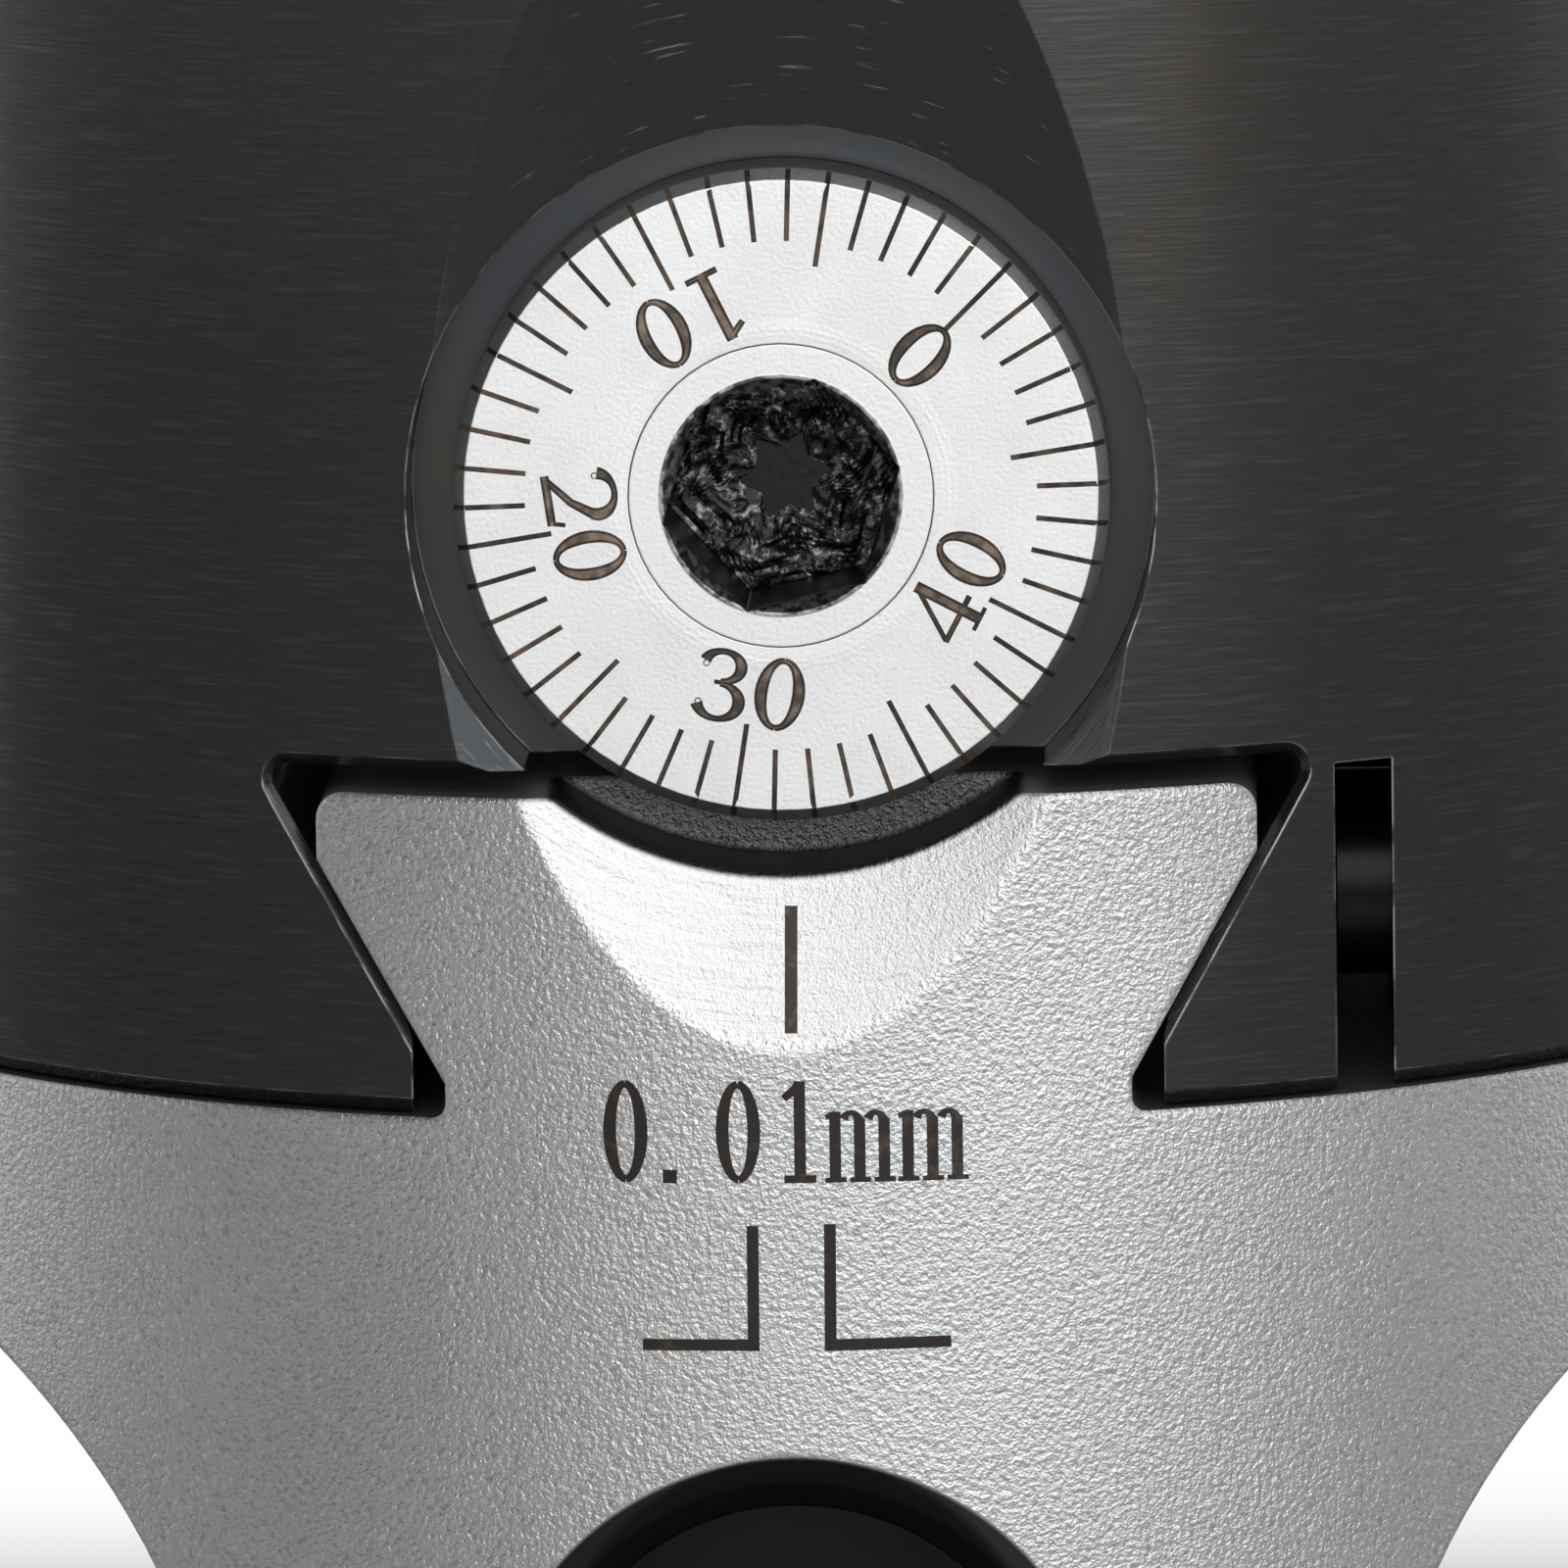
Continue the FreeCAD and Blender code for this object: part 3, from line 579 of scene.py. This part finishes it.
@dataclass(frozen=True)
class Glyphs:
    """Figures with feet, one unit high and centred on their own foot line."""

    half: float = 0.34
    thick: float = 0.175
    thin: float = 0.085

    def ring(self) -> list:
        """The figure 0."""
        rx = self.half - self.thick / 2
        ry = 0.5 - self.thin / 2
        spans = ((-90, 90), (90, 270))
        return [bow(0, 0.5, rx, ry, a, b, self.thin, self.thick) for a, b in spans]

    def one(self) -> list:
        """The figure 1."""
        foot = self.half * 0.62
        return [
            bar(0.02, 0.0, 0.02, 0.99, self.thick * 0.9),
            bar(-foot, self.thin / 2, foot + 0.04, self.thin / 2, self.thin),
            [(-foot, 0.82, self.thin / 2), (0.02, 0.95, self.thin * 0.6)],
        ]

    def two(self) -> list:
        """The figure 2."""
        h = self.half
        return [
            bow(0, 0.72, h * 0.82, 0.24, 170, -25, self.thin, self.thick),
            [(h * 0.76, 0.63, self.thick * 0.42), (h * 0.2, 0.36, 0.055), (-h * 0.86, 0.06, 0.045)],
            bar(-h, 0.06, h, 0.06, 0.12),
            bar(h * 0.9, 0.04, h * 1.05, 0.24, 0.06),
            bow(-h * 0.72, 0.73, 0.04, 0.04, 0, 350, 0.09, 0.09),
        ]

    def three(self) -> list:
        """The figure 3."""
        h = self.half
        return [
            bow(0, 0.755, h * 0.74, 0.205, 165, -90, self.thin, self.thick * 0.95),
            bow(0, 0.28, h * 0.84, 0.24, 90, -165, self.thin, self.thick),
            bar(-h * 0.25, 0.535, h * 0.1, 0.535, 0.06),
            bow(-h * 0.66, 0.77, 0.04, 0.04, 0, 350, 0.09, 0.09),
            bow(-h * 0.76, 0.24, 0.04, 0.04, 0, 350, 0.09, 0.09),
        ]

    def four(self) -> list:
        """The figure 4."""
        h = self.half
        return [
            bar(h * 0.4, 0.97, -h * 0.98, 0.29, 0.07),
            bar(-h * 1.02, 0.29, h * 1.05, 0.29, 0.08),
            bar(h * 0.42, 0.0, h * 0.42, 0.99, self.thick * 0.9),
            bar(-h * 0.1, 0.03, h * 0.92, 0.03, 0.06),
        ]

    def figure(self, sign: str) -> list:
        """The strokes of one figure."""
        makers = {"0": self.ring, "1": self.one, "2": self.two, "3": self.three, "4": self.four}
        return makers[sign]()


class Marks:
    """Flat outlines laid on one CAD node and raised into a single thin closed solid."""

    proud = 0.006 * MM
    sunk = 0.03 * MM
    grid = 0.45

    def __init__(self, node: bpy.types.Object) -> None:
        """Starts with no outlines, over a node whose front the marks lie on."""
        mesh = node.data
        corners = [vertex.co.copy() for vertex in mesh.vertices]
        self.tree = BVHTree.FromPolygons(corners, [tuple(face.vertices) for face in mesh.polygons])
        self.outlines = []

    def add(self, strokes: list, place: "callable" = None, thinner: float = 0.0) -> None:
        """Adds strokes, moved by a placing function and thinned on each side, in millimetres."""
        for stroke in strokes:
            if place:
                stroke = [place(*point) for point in stroke]
            kept = [(x, y, half - thinner) for x, y, half in stroke if half > thinner]
            if len(kept) > 1:
                self.outlines.append(ribbon(kept))

    def _surface(self, u: float, v: float) -> tuple:
        """The node's surface point and normal behind a point of the front view, in millimetres."""
        start = Vector((u * MM, -40 * MM, v * MM))
        place, normal, _, _ = self.tree.ray_cast(start, Vector((0, 1, 0)))
        return place, normal

    def build(self, name: str, material: bpy.types.Material, body: Body, slot: str) -> bpy.types.Object:
        """Joins the outlines and raises them off the surface.

        Args:
            name: The new piece's name.
            material: Its finish.
            body: The group that it moves with.
            slot: The record's material slot; not used.

        Returns:
            The new piece.
        """
        points = []
        faces = []
        for shape in self.outlines:
            area = sum(a[0] * b[1] - b[0] * a[1] for a, b in zip(shape, shape[1:] + shape[:1]))
            ordered = shape if area > 0 else shape[::-1]
            faces.append(list(range(len(points), len(points) + len(ordered))))
            points += [Vector(p) for p in ordered]
        lines = self._grid_lines(points)
        found = delaunay_2d_cdt(points, lines, faces, 0, 1e-5, True)
        flat = found[0]
        triangles = [face for face, sources in zip(found[2], found[5]) if sources]
        return self._raise(name, flat, triangles, material, body)

    def _grid_lines(self, points: list) -> list:
        """Adds upright lines that split wide marks, so that they follow a round surface."""
        low = min(p.x for p in points)
        high = max(p.x for p in points)
        bottom = min(p.y for p in points) - 1
        top = max(p.y for p in points) + 1
        lines = []
        for step in range(1, int((high - low) / self.grid)):
            x = low + step * self.grid
            lines.append((len(points), len(points) + 1))
            points += [Vector((x, bottom)), Vector((x, top))]
        return lines

    def _raise(
        self, name: str, flat: list, triangles: list, material: bpy.types.Material, body: Body
    ) -> bpy.types.Object:
        """Turns flat triangles into a thin closed solid on the surface."""
        used = sorted({index for face in triangles for index in face})
        number = {index: i for i, index in enumerate(used)}
        upper = []
        lower = []
        for index in used:
            place, normal = self._surface(flat[index].x, flat[index].y)
            upper.append(place + normal * self.proud)
            lower.append(place - normal * self.sunk)
        count = len(used)
        faces = []
        borders = {}
        for face in triangles:
            a, b, c = (number[index] for index in face)
            faces.append((a, b, c))
            faces.append((c + count, b + count, a + count))
            for start, end in ((a, b), (b, c), (c, a)):
                if (end, start) in borders:
                    del borders[(end, start)]
                else:
                    borders[(start, end)] = True
        faces += [(end, start, start + count, end + count) for start, end in borders]
        return piece(name, upper + lower, faces, material, body)


def piece(
    name: str, points: list, faces: list, material: bpy.types.Material, body: Body
) -> bpy.types.Object:
    """Makes one mesh piece that rides on a body.

    Args:
        name: The piece's name.
        points: Its corners in metres, in the frame.
        faces: Its faces as lists of corner numbers.
        material: Its finish.
        body: The group that it moves with.

    Returns:
        The new piece.
    """
    mesh = bpy.data.meshes.new(name)
    mesh.from_pydata(points, [], faces)
    mesh.materials.append(material)
    made = bpy.data.objects.new(name, mesh)
    bpy.context.scene.collection.objects.link(made)
    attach(made, body.value)
    LOG.info("%s: %d faces on %s", name, len(faces), body.value)
    return made


# ---------------------------------------------------------------- sub-assemblies


@dataclass
class DialAssembly:
    """The dial's fifty divisions and figures, and the floor of the key socket."""

    layout: Layout
    divisions: int = 50
    zero_bearing: float = 44.8
    rim: float = 7.74
    bevel_start: float = 7.49
    long_reach: float = 5.5
    short_reach: float = 6.05
    line_width: float = 0.125
    figure_radius: float = 4.68
    figure_height: float = 1.76
    figure_pitch: float = 1.43
    socket_flats: float = 5.0
    socket_turn: float = 13.0
    floor_depth: float = 3.8

    def build(self, frame: dict) -> None:
        """Makes the marks and the socket's floor."""
        dial = frame["nodes"]["graduated_dial"]
        screw = frame["nodes"]["lead_screw"]
        height = self.layout.dial_height / MM
        ticks = Marks(dial)
        for index in range(self.divisions):
            angle = math.radians(self.zero_bearing + index * 360 / self.divisions)
            reach = self.short_reach if index % 5 else self.long_reach
            for low, high in ((reach, self.bevel_start), (self.bevel_start, self.rim)):
                ends = [(r * math.cos(angle), r * math.sin(angle) + height) for r in (low, high)]
                ticks.add([bar(*ends[0], *ends[1], self.line_width)])
        ticks.build("dial_graduations", BurntMark("dial line", bias=0.5).build(), Body.DIAL, "dial_satin")
        figures = Marks(dial)
        cores = Marks(dial)
        cores.proud = 0.012 * MM
        for step in range(5):
            self._number(figures, cores, str(10 * step), step * 72, height)
        figures.build("dial_figures", BurntMark("dial figure", bias=0.56).build(), Body.DIAL, "dial_satin")
        pale = BurntMark("figure core", (0.06, 0.045, 0.03, 1), (0.3, 0.24, 0.17, 1), 0.5)
        cores.build("dial_figure_cores", pale.build(), Body.DIAL, "dial_satin")
        self._socket_floor(screw)

    def _number(self, figures: Marks, cores: Marks, digits: str, offset: float, height: float) -> None:
        """Adds one number with its top towards the dial's middle.

        Args:
            figures: The marks that take the full strokes.
            cores: The marks that take the strokes' paler cores.
            digits: The number.
            offset: Its bearing from zero in degrees.
            height: The dial's height in millimetres.
        """
        angle = math.radians(self.zero_bearing + offset - (0.6 if offset else 0.0))
        out = Vector((math.cos(angle), math.sin(angle)))
        side = Vector((-out.y, out.x))
        size = self.figure_height
        glyphs = Glyphs()
        for index, sign in enumerate(digits):
            shift = (index - (len(digits) - 1) / 2) * self.figure_pitch
            foot = out * (self.figure_radius + size / 2) + side * shift

            def place(x: float, y: float, half: float, foot: Vector = foot) -> tuple:
                """Moves a stroke's point onto the dial."""
                spot = foot + side * (x * size) - out * (y * size)
                return spot.x, spot.y + height, half * size

            figures.add(glyphs.figure(sign), place)
            cores.add(glyphs.figure(sign), place, 0.065)

    def _socket_floor(self, screw: bpy.types.Object) -> None:
        """Makes the torn floor of the key socket round its six-pointed pilot hole."""
        segments = 120
        rings = 16
        middle = self.layout.dial_height
        top = self.layout.dial_front + self.floor_depth * MM
        base = self.layout.dial_front + 3.99 * MM
        points = []
        for ring in range(rings + 1):
            share = ring / rings
            for index in range(segments):
                angle = math.tau * index / segments
                inner = self._star(angle)
                outer = self._hexagon(angle)
                reach = inner + (outer - inner) * share
                rough = self._tear(reach, angle) * min(1.0, share * 3)
                slope = 0.14 * max(0.0, 1 - share * 3)
                depth = top + (slope + rough) * MM
                points.append((reach * MM * math.cos(angle), depth, middle + reach * MM * math.sin(angle)))
        first_inner = len(points)
        for start in (0, rings * segments):
            for index in range(segments):
                x, _, z = points[start + index]
                points.append((x, base, z))
        faces = []
        for index in range(segments):
            following = (index + 1) % segments
            for ring in range(rings):
                a = ring * segments
                b = a + segments
                faces.append((a + index, b + index, b + following, a + following))
            outer_low = first_inner + segments
            outer_top = rings * segments
            faces.append((outer_top + index, outer_low + index, outer_low + following, outer_top + following))
            faces.append((index, following, first_inner + following, first_inner + index))
            low = first_inner
            faces.append((low + index, low + following, outer_low + following, outer_low + index))
        piece("socket_floor", points, faces, BroachedFloor().build(), Body.DIAL)

    def _star(self, angle: float) -> float:
        """The pilot hole's radius in millimetres at an angle: six points with hollow sides."""
        turn = (math.degrees(angle) - 8) % 60 - 30
        return 0.70 + 0.40 * (abs(turn) / 30) ** 1.6

    def _hexagon(self, angle: float) -> float:
        """The socket's radius in millimetres at an angle, just inside its flats."""
        turn = (math.degrees(angle) - self.socket_turn) % 60 - 30
        return (self.socket_flats / 2 - 0.02) / math.cos(math.radians(turn))

    @staticmethod
    def _tear(reach: float, angle: float) -> float:
        """The torn floor's rise and fall in millimetres."""
        first = math.sin(reach * 9.3 + 3.1 * math.sin(angle * 5 + reach))
        second = math.sin(angle * 17 + 6.2 * reach + 2.0 * math.sin(reach * 7.7))
        return 0.035 * first + 0.03 * second


@dataclass
class SlideMarks:
    """The reference line, the unit of one division and the two corner marks on the slide's front."""

    digit_height: float = 2.46
    foot: float = 25.49
    line_width: float = 0.28

    def build(self, frame: dict) -> None:
        """Makes every mark on the slide."""
        slide = frame["nodes"]["tool_slide"]
        line = Marks(slide)
        line.add([bar(0.115, 29.05, 0.14, 32.0, 0.3)])
        faded = BurntMark("reference line", (0.05, 0.035, 0.025, 1), (0.3, 0.24, 0.18, 1), 0.62)
        line.build("slide_reference_line", faded.build(), Body.SLIDE, "satin_steel")
        text = Marks(slide)
        self._unit(text)
        burnt = BurntMark("slide mark", bias=0.6).build()
        text.build("slide_unit_figures", burnt, Body.SLIDE, "satin_steel")
        corners = Marks(slide)
        corners.add(
            [
                bar(-0.87, 21.47, -0.86, 24.47, self.line_width),
                bar(-3.5, 21.62, -0.75, 21.62, self.line_width),
                bar(0.95, 21.47, 0.97, 24.5, self.line_width),
                bar(0.84, 21.6, 3.8, 21.63, self.line_width),
            ]
        )
        corners.build("slide_corner_marks", burnt, Body.SLIDE, "satin_steel")

    def _unit(self, text: Marks) -> None:
        """Sets out the unit of one division: figures first, then two narrow letters."""
        size = self.digit_height
        narrow = Glyphs(0.215, 0.125, 0.075)
        for sign, middle in (("0", -3.84), ("0", -1.17), ("1", 0.24)):

            def place(x: float, y: float, half: float, middle: float = middle) -> tuple:
                """Moves a stroke's point onto the slide."""
                return middle + x * size, self.foot + y * size, half * size

            text.add(narrow.figure(sign), place)
        text.add([bar(-2.97, self.foot + 0.16, -2.63, self.foot + 0.16, 0.32)])
        for start in (0.9, 2.62):
            self._letter(text, start)

    def _letter(self, text: Marks, start: float) -> None:
        """Adds one narrow letter m from its left edge."""
        tall = 1.72
        stem = 0.27
        stems = [start + 0.22 + 0.58 * step for step in range(3)]
        for index, x in enumerate(stems):
            text.add([bar(x, self.foot, x, self.foot + tall - (0.2 if index else 0.03), stem)])
            text.add([bar(x - 0.24, self.foot + 0.06, x + 0.26, self.foot + 0.06, 0.12)])
            if index:
                arch = bow(x - 0.2, self.foot + tall - 0.36, 0.2, 0.3, 0, 150, 0.13, stem)
                text.add([arch])
        text.add([bar(start, self.foot + tall - 0.16, start + 0.24, self.foot + tall - 0.06, 0.13)])


class Axis(Enum):
    """The frame axis that a thread runs along."""

    X = 0
    Z = 2


@dataclass
class Threads:
    """Helical ridges on the walls of tapped holes."""

    black: bpy.types.Material
    bright: bpy.types.Material
    layout: Layout
    steps: int = 60

    def build(self, frame: dict) -> None:
        """Makes the arbor socket's thread and the open stretch of each screw hole's."""
        start = self.layout.top - 12.3 * MM
        self._ridge("arbor_thread", Axis.Z, (0, 0), 10.46, 0.4, 1.27, start, 11.2 * MM, self.black, Body.HEAD)
        for name, radius, pitch in (("gib_screw_front", 2.53, 0.8), ("gib_screw_rear", 2.53, 0.8)):
            self._hole(name, radius, pitch, self.black, Body.HEAD)
        for name in frame["nodes"]:
            if "bore_screw" in name:
                self._hole(name, 3.03, 1.0, self.bright, Body.SLIDE)

    def _hole(self, node: str, radius: float, pitch: float, material: bpy.types.Material, body: Body) -> None:
        """Threads the open stretch in front of one set screw."""
        low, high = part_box(node)
        middle = ((low.y + high.y) / 2, (low.z + high.z) / 2)
        outer = math.sqrt(max(0.0, self.layout.barrel**2 - (abs(middle[0]) + radius * MM) ** 2))
        if body is Body.SLIDE:
            outer = min(outer, 13.7 * MM)
        length = outer - high.x - 0.5 * MM
        if length > pitch * MM:
            name = node.replace("screw", "thread")
            self._ridge(name, Axis.X, middle, radius, 0.28, pitch, high.x, length, material, body)

    def _ridge(
        self,
        name: str,
        axis: Axis,
        middle: tuple,
        radius: float,
        rise: float,
        pitch: float,
        start: float,
        length: float,
        material: bpy.types.Material,
        body: Body,
    ) -> None:
        """Makes one helical ridge that fades in and out at its ends.

        Args:
            name: The piece's name.
            axis: The axis that the hole runs along.
            middle: The hole's place on the other two axes, in metres.
            radius: The hole's radius in millimetres.
            rise: How far the ridge stands in from the wall, in millimetres.
            pitch: The thread's pitch in millimetres.
            start: Where the thread starts along its axis, in metres.
            length: How long it is, in metres.
            material: Its finish.
            body: The group that it moves with.
        """
        turns = (length / MM) / pitch - 0.9
        count = max(8, int(turns * self.steps))
        points = []
        for index in range(count + 1):
            angle = math.tau * index / self.steps
            fade = min(1.0, index / 15, (count - index) / 15)
            crest = radius - rise * max(fade, 0.02)
            along = pitch * (0.45 + index / self.steps)
            profile = ((radius + 0.04, -0.44), (crest, -0.07), (crest, 0.07), (radius + 0.04, 0.44))
            for reach, offset in profile:
                place = start + (along + offset * pitch) * MM
                across = (reach * MM * math.cos(angle), reach * MM * math.sin(angle))
                points.append(self._spot(axis, middle, across, place))
        faces = [(3, 2, 1, 0), tuple(count * 4 + corner for corner in range(4))]
        for index in range(count):
            for corner in range(4):
                a = index * 4 + corner
                b = index * 4 + (corner + 1) % 4
                faces.append((a, b, b + 4, a + 4))
        piece(name, points, faces, material, body)

    @staticmethod
    def _spot(axis: Axis, middle: tuple, across: tuple, along: float) -> tuple:
        """A point from its place across and along a hole."""
        if axis is Axis.Z:
            return middle[0] + across[0], middle[1] + across[1], along
        return along, middle[0] + across[0], middle[1] + across[1]


# ---------------------------------------------------------------- studio


@dataclass
class Studio:
    """The floor, the soft lamps and the camera."""

    azimuth: float = 1.5
    elevation: float = 8.0
    roll: float = -0.8
    distance: float = 450 * MM
    lens: float = 436.8
    aim: tuple = (-0.02 * MM, -23 * MM, 34.73 * MM)
    floor_reach: float = 6.0
    floor_near: float = 0.45
    floor_far: float = 0.8
    world_level: float = 0.06

    def build(self) -> None:
        """Makes the world, floor, lamps and camera."""
        self._world()
        self._floor()
        self._lamps()
        self._camera()
        bpy.context.scene.view_settings.view_transform = "Standard"

    def _world(self) -> None:
        """A dim, even surround."""
        world = bpy.data.worlds.new("studio")
        world.use_nodes = True
        world.node_tree.nodes["Background"].inputs[0].default_value = grey(self.world_level)
        bpy.context.scene.world = world

    def _floor(self) -> None:
        """A pale floor, plain white away from the head and shaded near it."""
        reach = self.floor_reach
        mesh = bpy.data.meshes.new("floor")
        corners = [(-reach, -reach, 0), (reach, -reach, 0), (reach, reach, 0), (-reach, reach, 0)]
        mesh.from_pydata(corners, [], [(0, 1, 2, 3)])
        floor = bpy.data.objects.new("floor", mesh)
        bpy.context.scene.collection.objects.link(floor)
        mesh.materials.append(self._floor_finish())

    def _floor_finish(self) -> bpy.types.Material:
        """White matt paint that turns plain white away from the head."""
        s = Shading("pale floor")
        x, y, _ = s.axes()
        away = (x * x + y * y).root().rise(self.floor_near, self.floor_far).larger(y.rise(0.04, 0.08))
        path = s.add("ShaderNodeLightPath", {}, {})
        seen = Signal(s, path.outputs["Is Camera Ray"])
        seen = seen + Signal(s, path.outputs["Is Glossy Ray"])
        seen = (seen + Signal(s, path.outputs["Is Transmission Ray"])).smaller(1.0)
        paint = s.add("ShaderNodeBsdfDiffuse", {}, {"Color": grey(0.82)})
        glow = s.add("ShaderNodeEmission", {}, {"Color": grey(1.0), "Strength": 1.0})
        both = s.add("ShaderNodeMixShader", {}, (seen * away, paint.outputs[0], glow.outputs[0]))
        s.add("ShaderNodeOutputMaterial", {}, {"Surface": both.outputs[0]})
        return s.material

    def _lamps(self) -> None:
        """Large soft lamps, given by azimuth, elevation, distance, width, height and radiance."""
        lamps = {
            "front": (17, 20, 0.70, 0.85, 0.85, 2.1),
            "left": (-105, 15, 0.80, 0.5, 0.9, 0.8),
            "right": (105, 15, 0.80, 0.5, 0.9, 0.9),
        }
        for name, (azimuth, elevation, distance, width, height, radiance) in lamps.items():
            data = bpy.data.lights.new(name, "AREA")
            data.shape = "RECTANGLE"
            data.size = width
            data.size_y = height
            data.energy = radiance * math.pi * width * height
            lamp = bpy.data.objects.new(name, data)
            bpy.context.scene.collection.objects.link(lamp)
            back = direction(azimuth, elevation)
            lamp.location = Vector((0, 0, 30 * MM)) + back * distance
            lamp.rotation_euler = back.to_track_quat("Z", "Y").to_euler()
            lamp.visible_camera = False

    def _camera(self) -> None:
        """The camera, turned about its own axis by the roll."""
        data = bpy.data.cameras.new("camera")
        data.lens = self.lens
        data.sensor_width = 36.0
        data.clip_start = 0.01
        camera = bpy.data.objects.new("camera", data)
        bpy.context.scene.collection.objects.link(camera)
        back = direction(self.azimuth, self.elevation)
        turn = back.to_track_quat("Z", "Y").to_matrix().to_4x4()
        roll = Matrix.Rotation(math.radians(self.roll), 4, "Z")
        place = Vector(self.aim) + back * self.distance
        camera.matrix_world = Matrix.Translation(place) @ turn @ roll
        bpy.context.scene.camera = camera


def direction(azimuth: float, elevation: float) -> Vector:
    """The unit vector from the head towards an azimuth from -Y towards +X and an elevation, in degrees."""
    a = math.radians(azimuth)
    e = math.radians(elevation)
    return Vector((math.sin(a) * math.cos(e), -math.cos(a) * math.cos(e), math.sin(e)))


def dress(frame: dict, names: list, material: bpy.types.Material) -> None:
    """Gives CAD nodes one material."""
    for name in names:
        slots = frame["nodes"][name].data.materials
        slots.clear()
        slots.append(material)


def main() -> None:
    """Builds the finishes, marks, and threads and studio."""
    logging.basicConfig(level=logging.INFO)
    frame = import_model()
    layout = Layout.read()
    black = BlackOxide(layout).build()
    blasted = BlastedSteel(layout).build()
    fastener = TurnedMetal("black fastener", grey(0.035), grey(0.3), 0.34).build()
    hardened = TurnedMetal("hardened steel", grey(0.5), grey(0.75), 0.28).build()
    bush = TurnedMetal("bush bronze", (0.56, 0.36, 0.16, 1), (0.8, 0.56, 0.3, 1), 0.3).build()
    nut = TurnedMetal("nut bronze", (0.6, 0.38, 0.15, 1), (0.82, 0.58, 0.3, 1), 0.32).build()
    dress(frame, ["head_body"], black)
    dress(frame, ["tool_slide"], blasted)
    dress(frame, ["graduated_dial"], SatinDial(layout).build())
    dress(frame, ["lead_screw"], ScrewSteel(layout).build())
    dress(frame, ["thrust_washer", "rear_washer"], hardened)
    dress(frame, ["rear_bush"], bush)
    dress(frame, ["lead_nut"], nut)
    dark = [name for name in frame["nodes"] if "_screw" in name and name != "lead_screw"]
    dress(frame, dark + ["thrust_nut", "jam_nut"], fastener)
    DialAssembly(layout).build(frame)
    SlideMarks().build(frame)
    Threads(black, hardened, layout).build(frame)
    Studio().build()


if __name__ == "__main__":
    main()
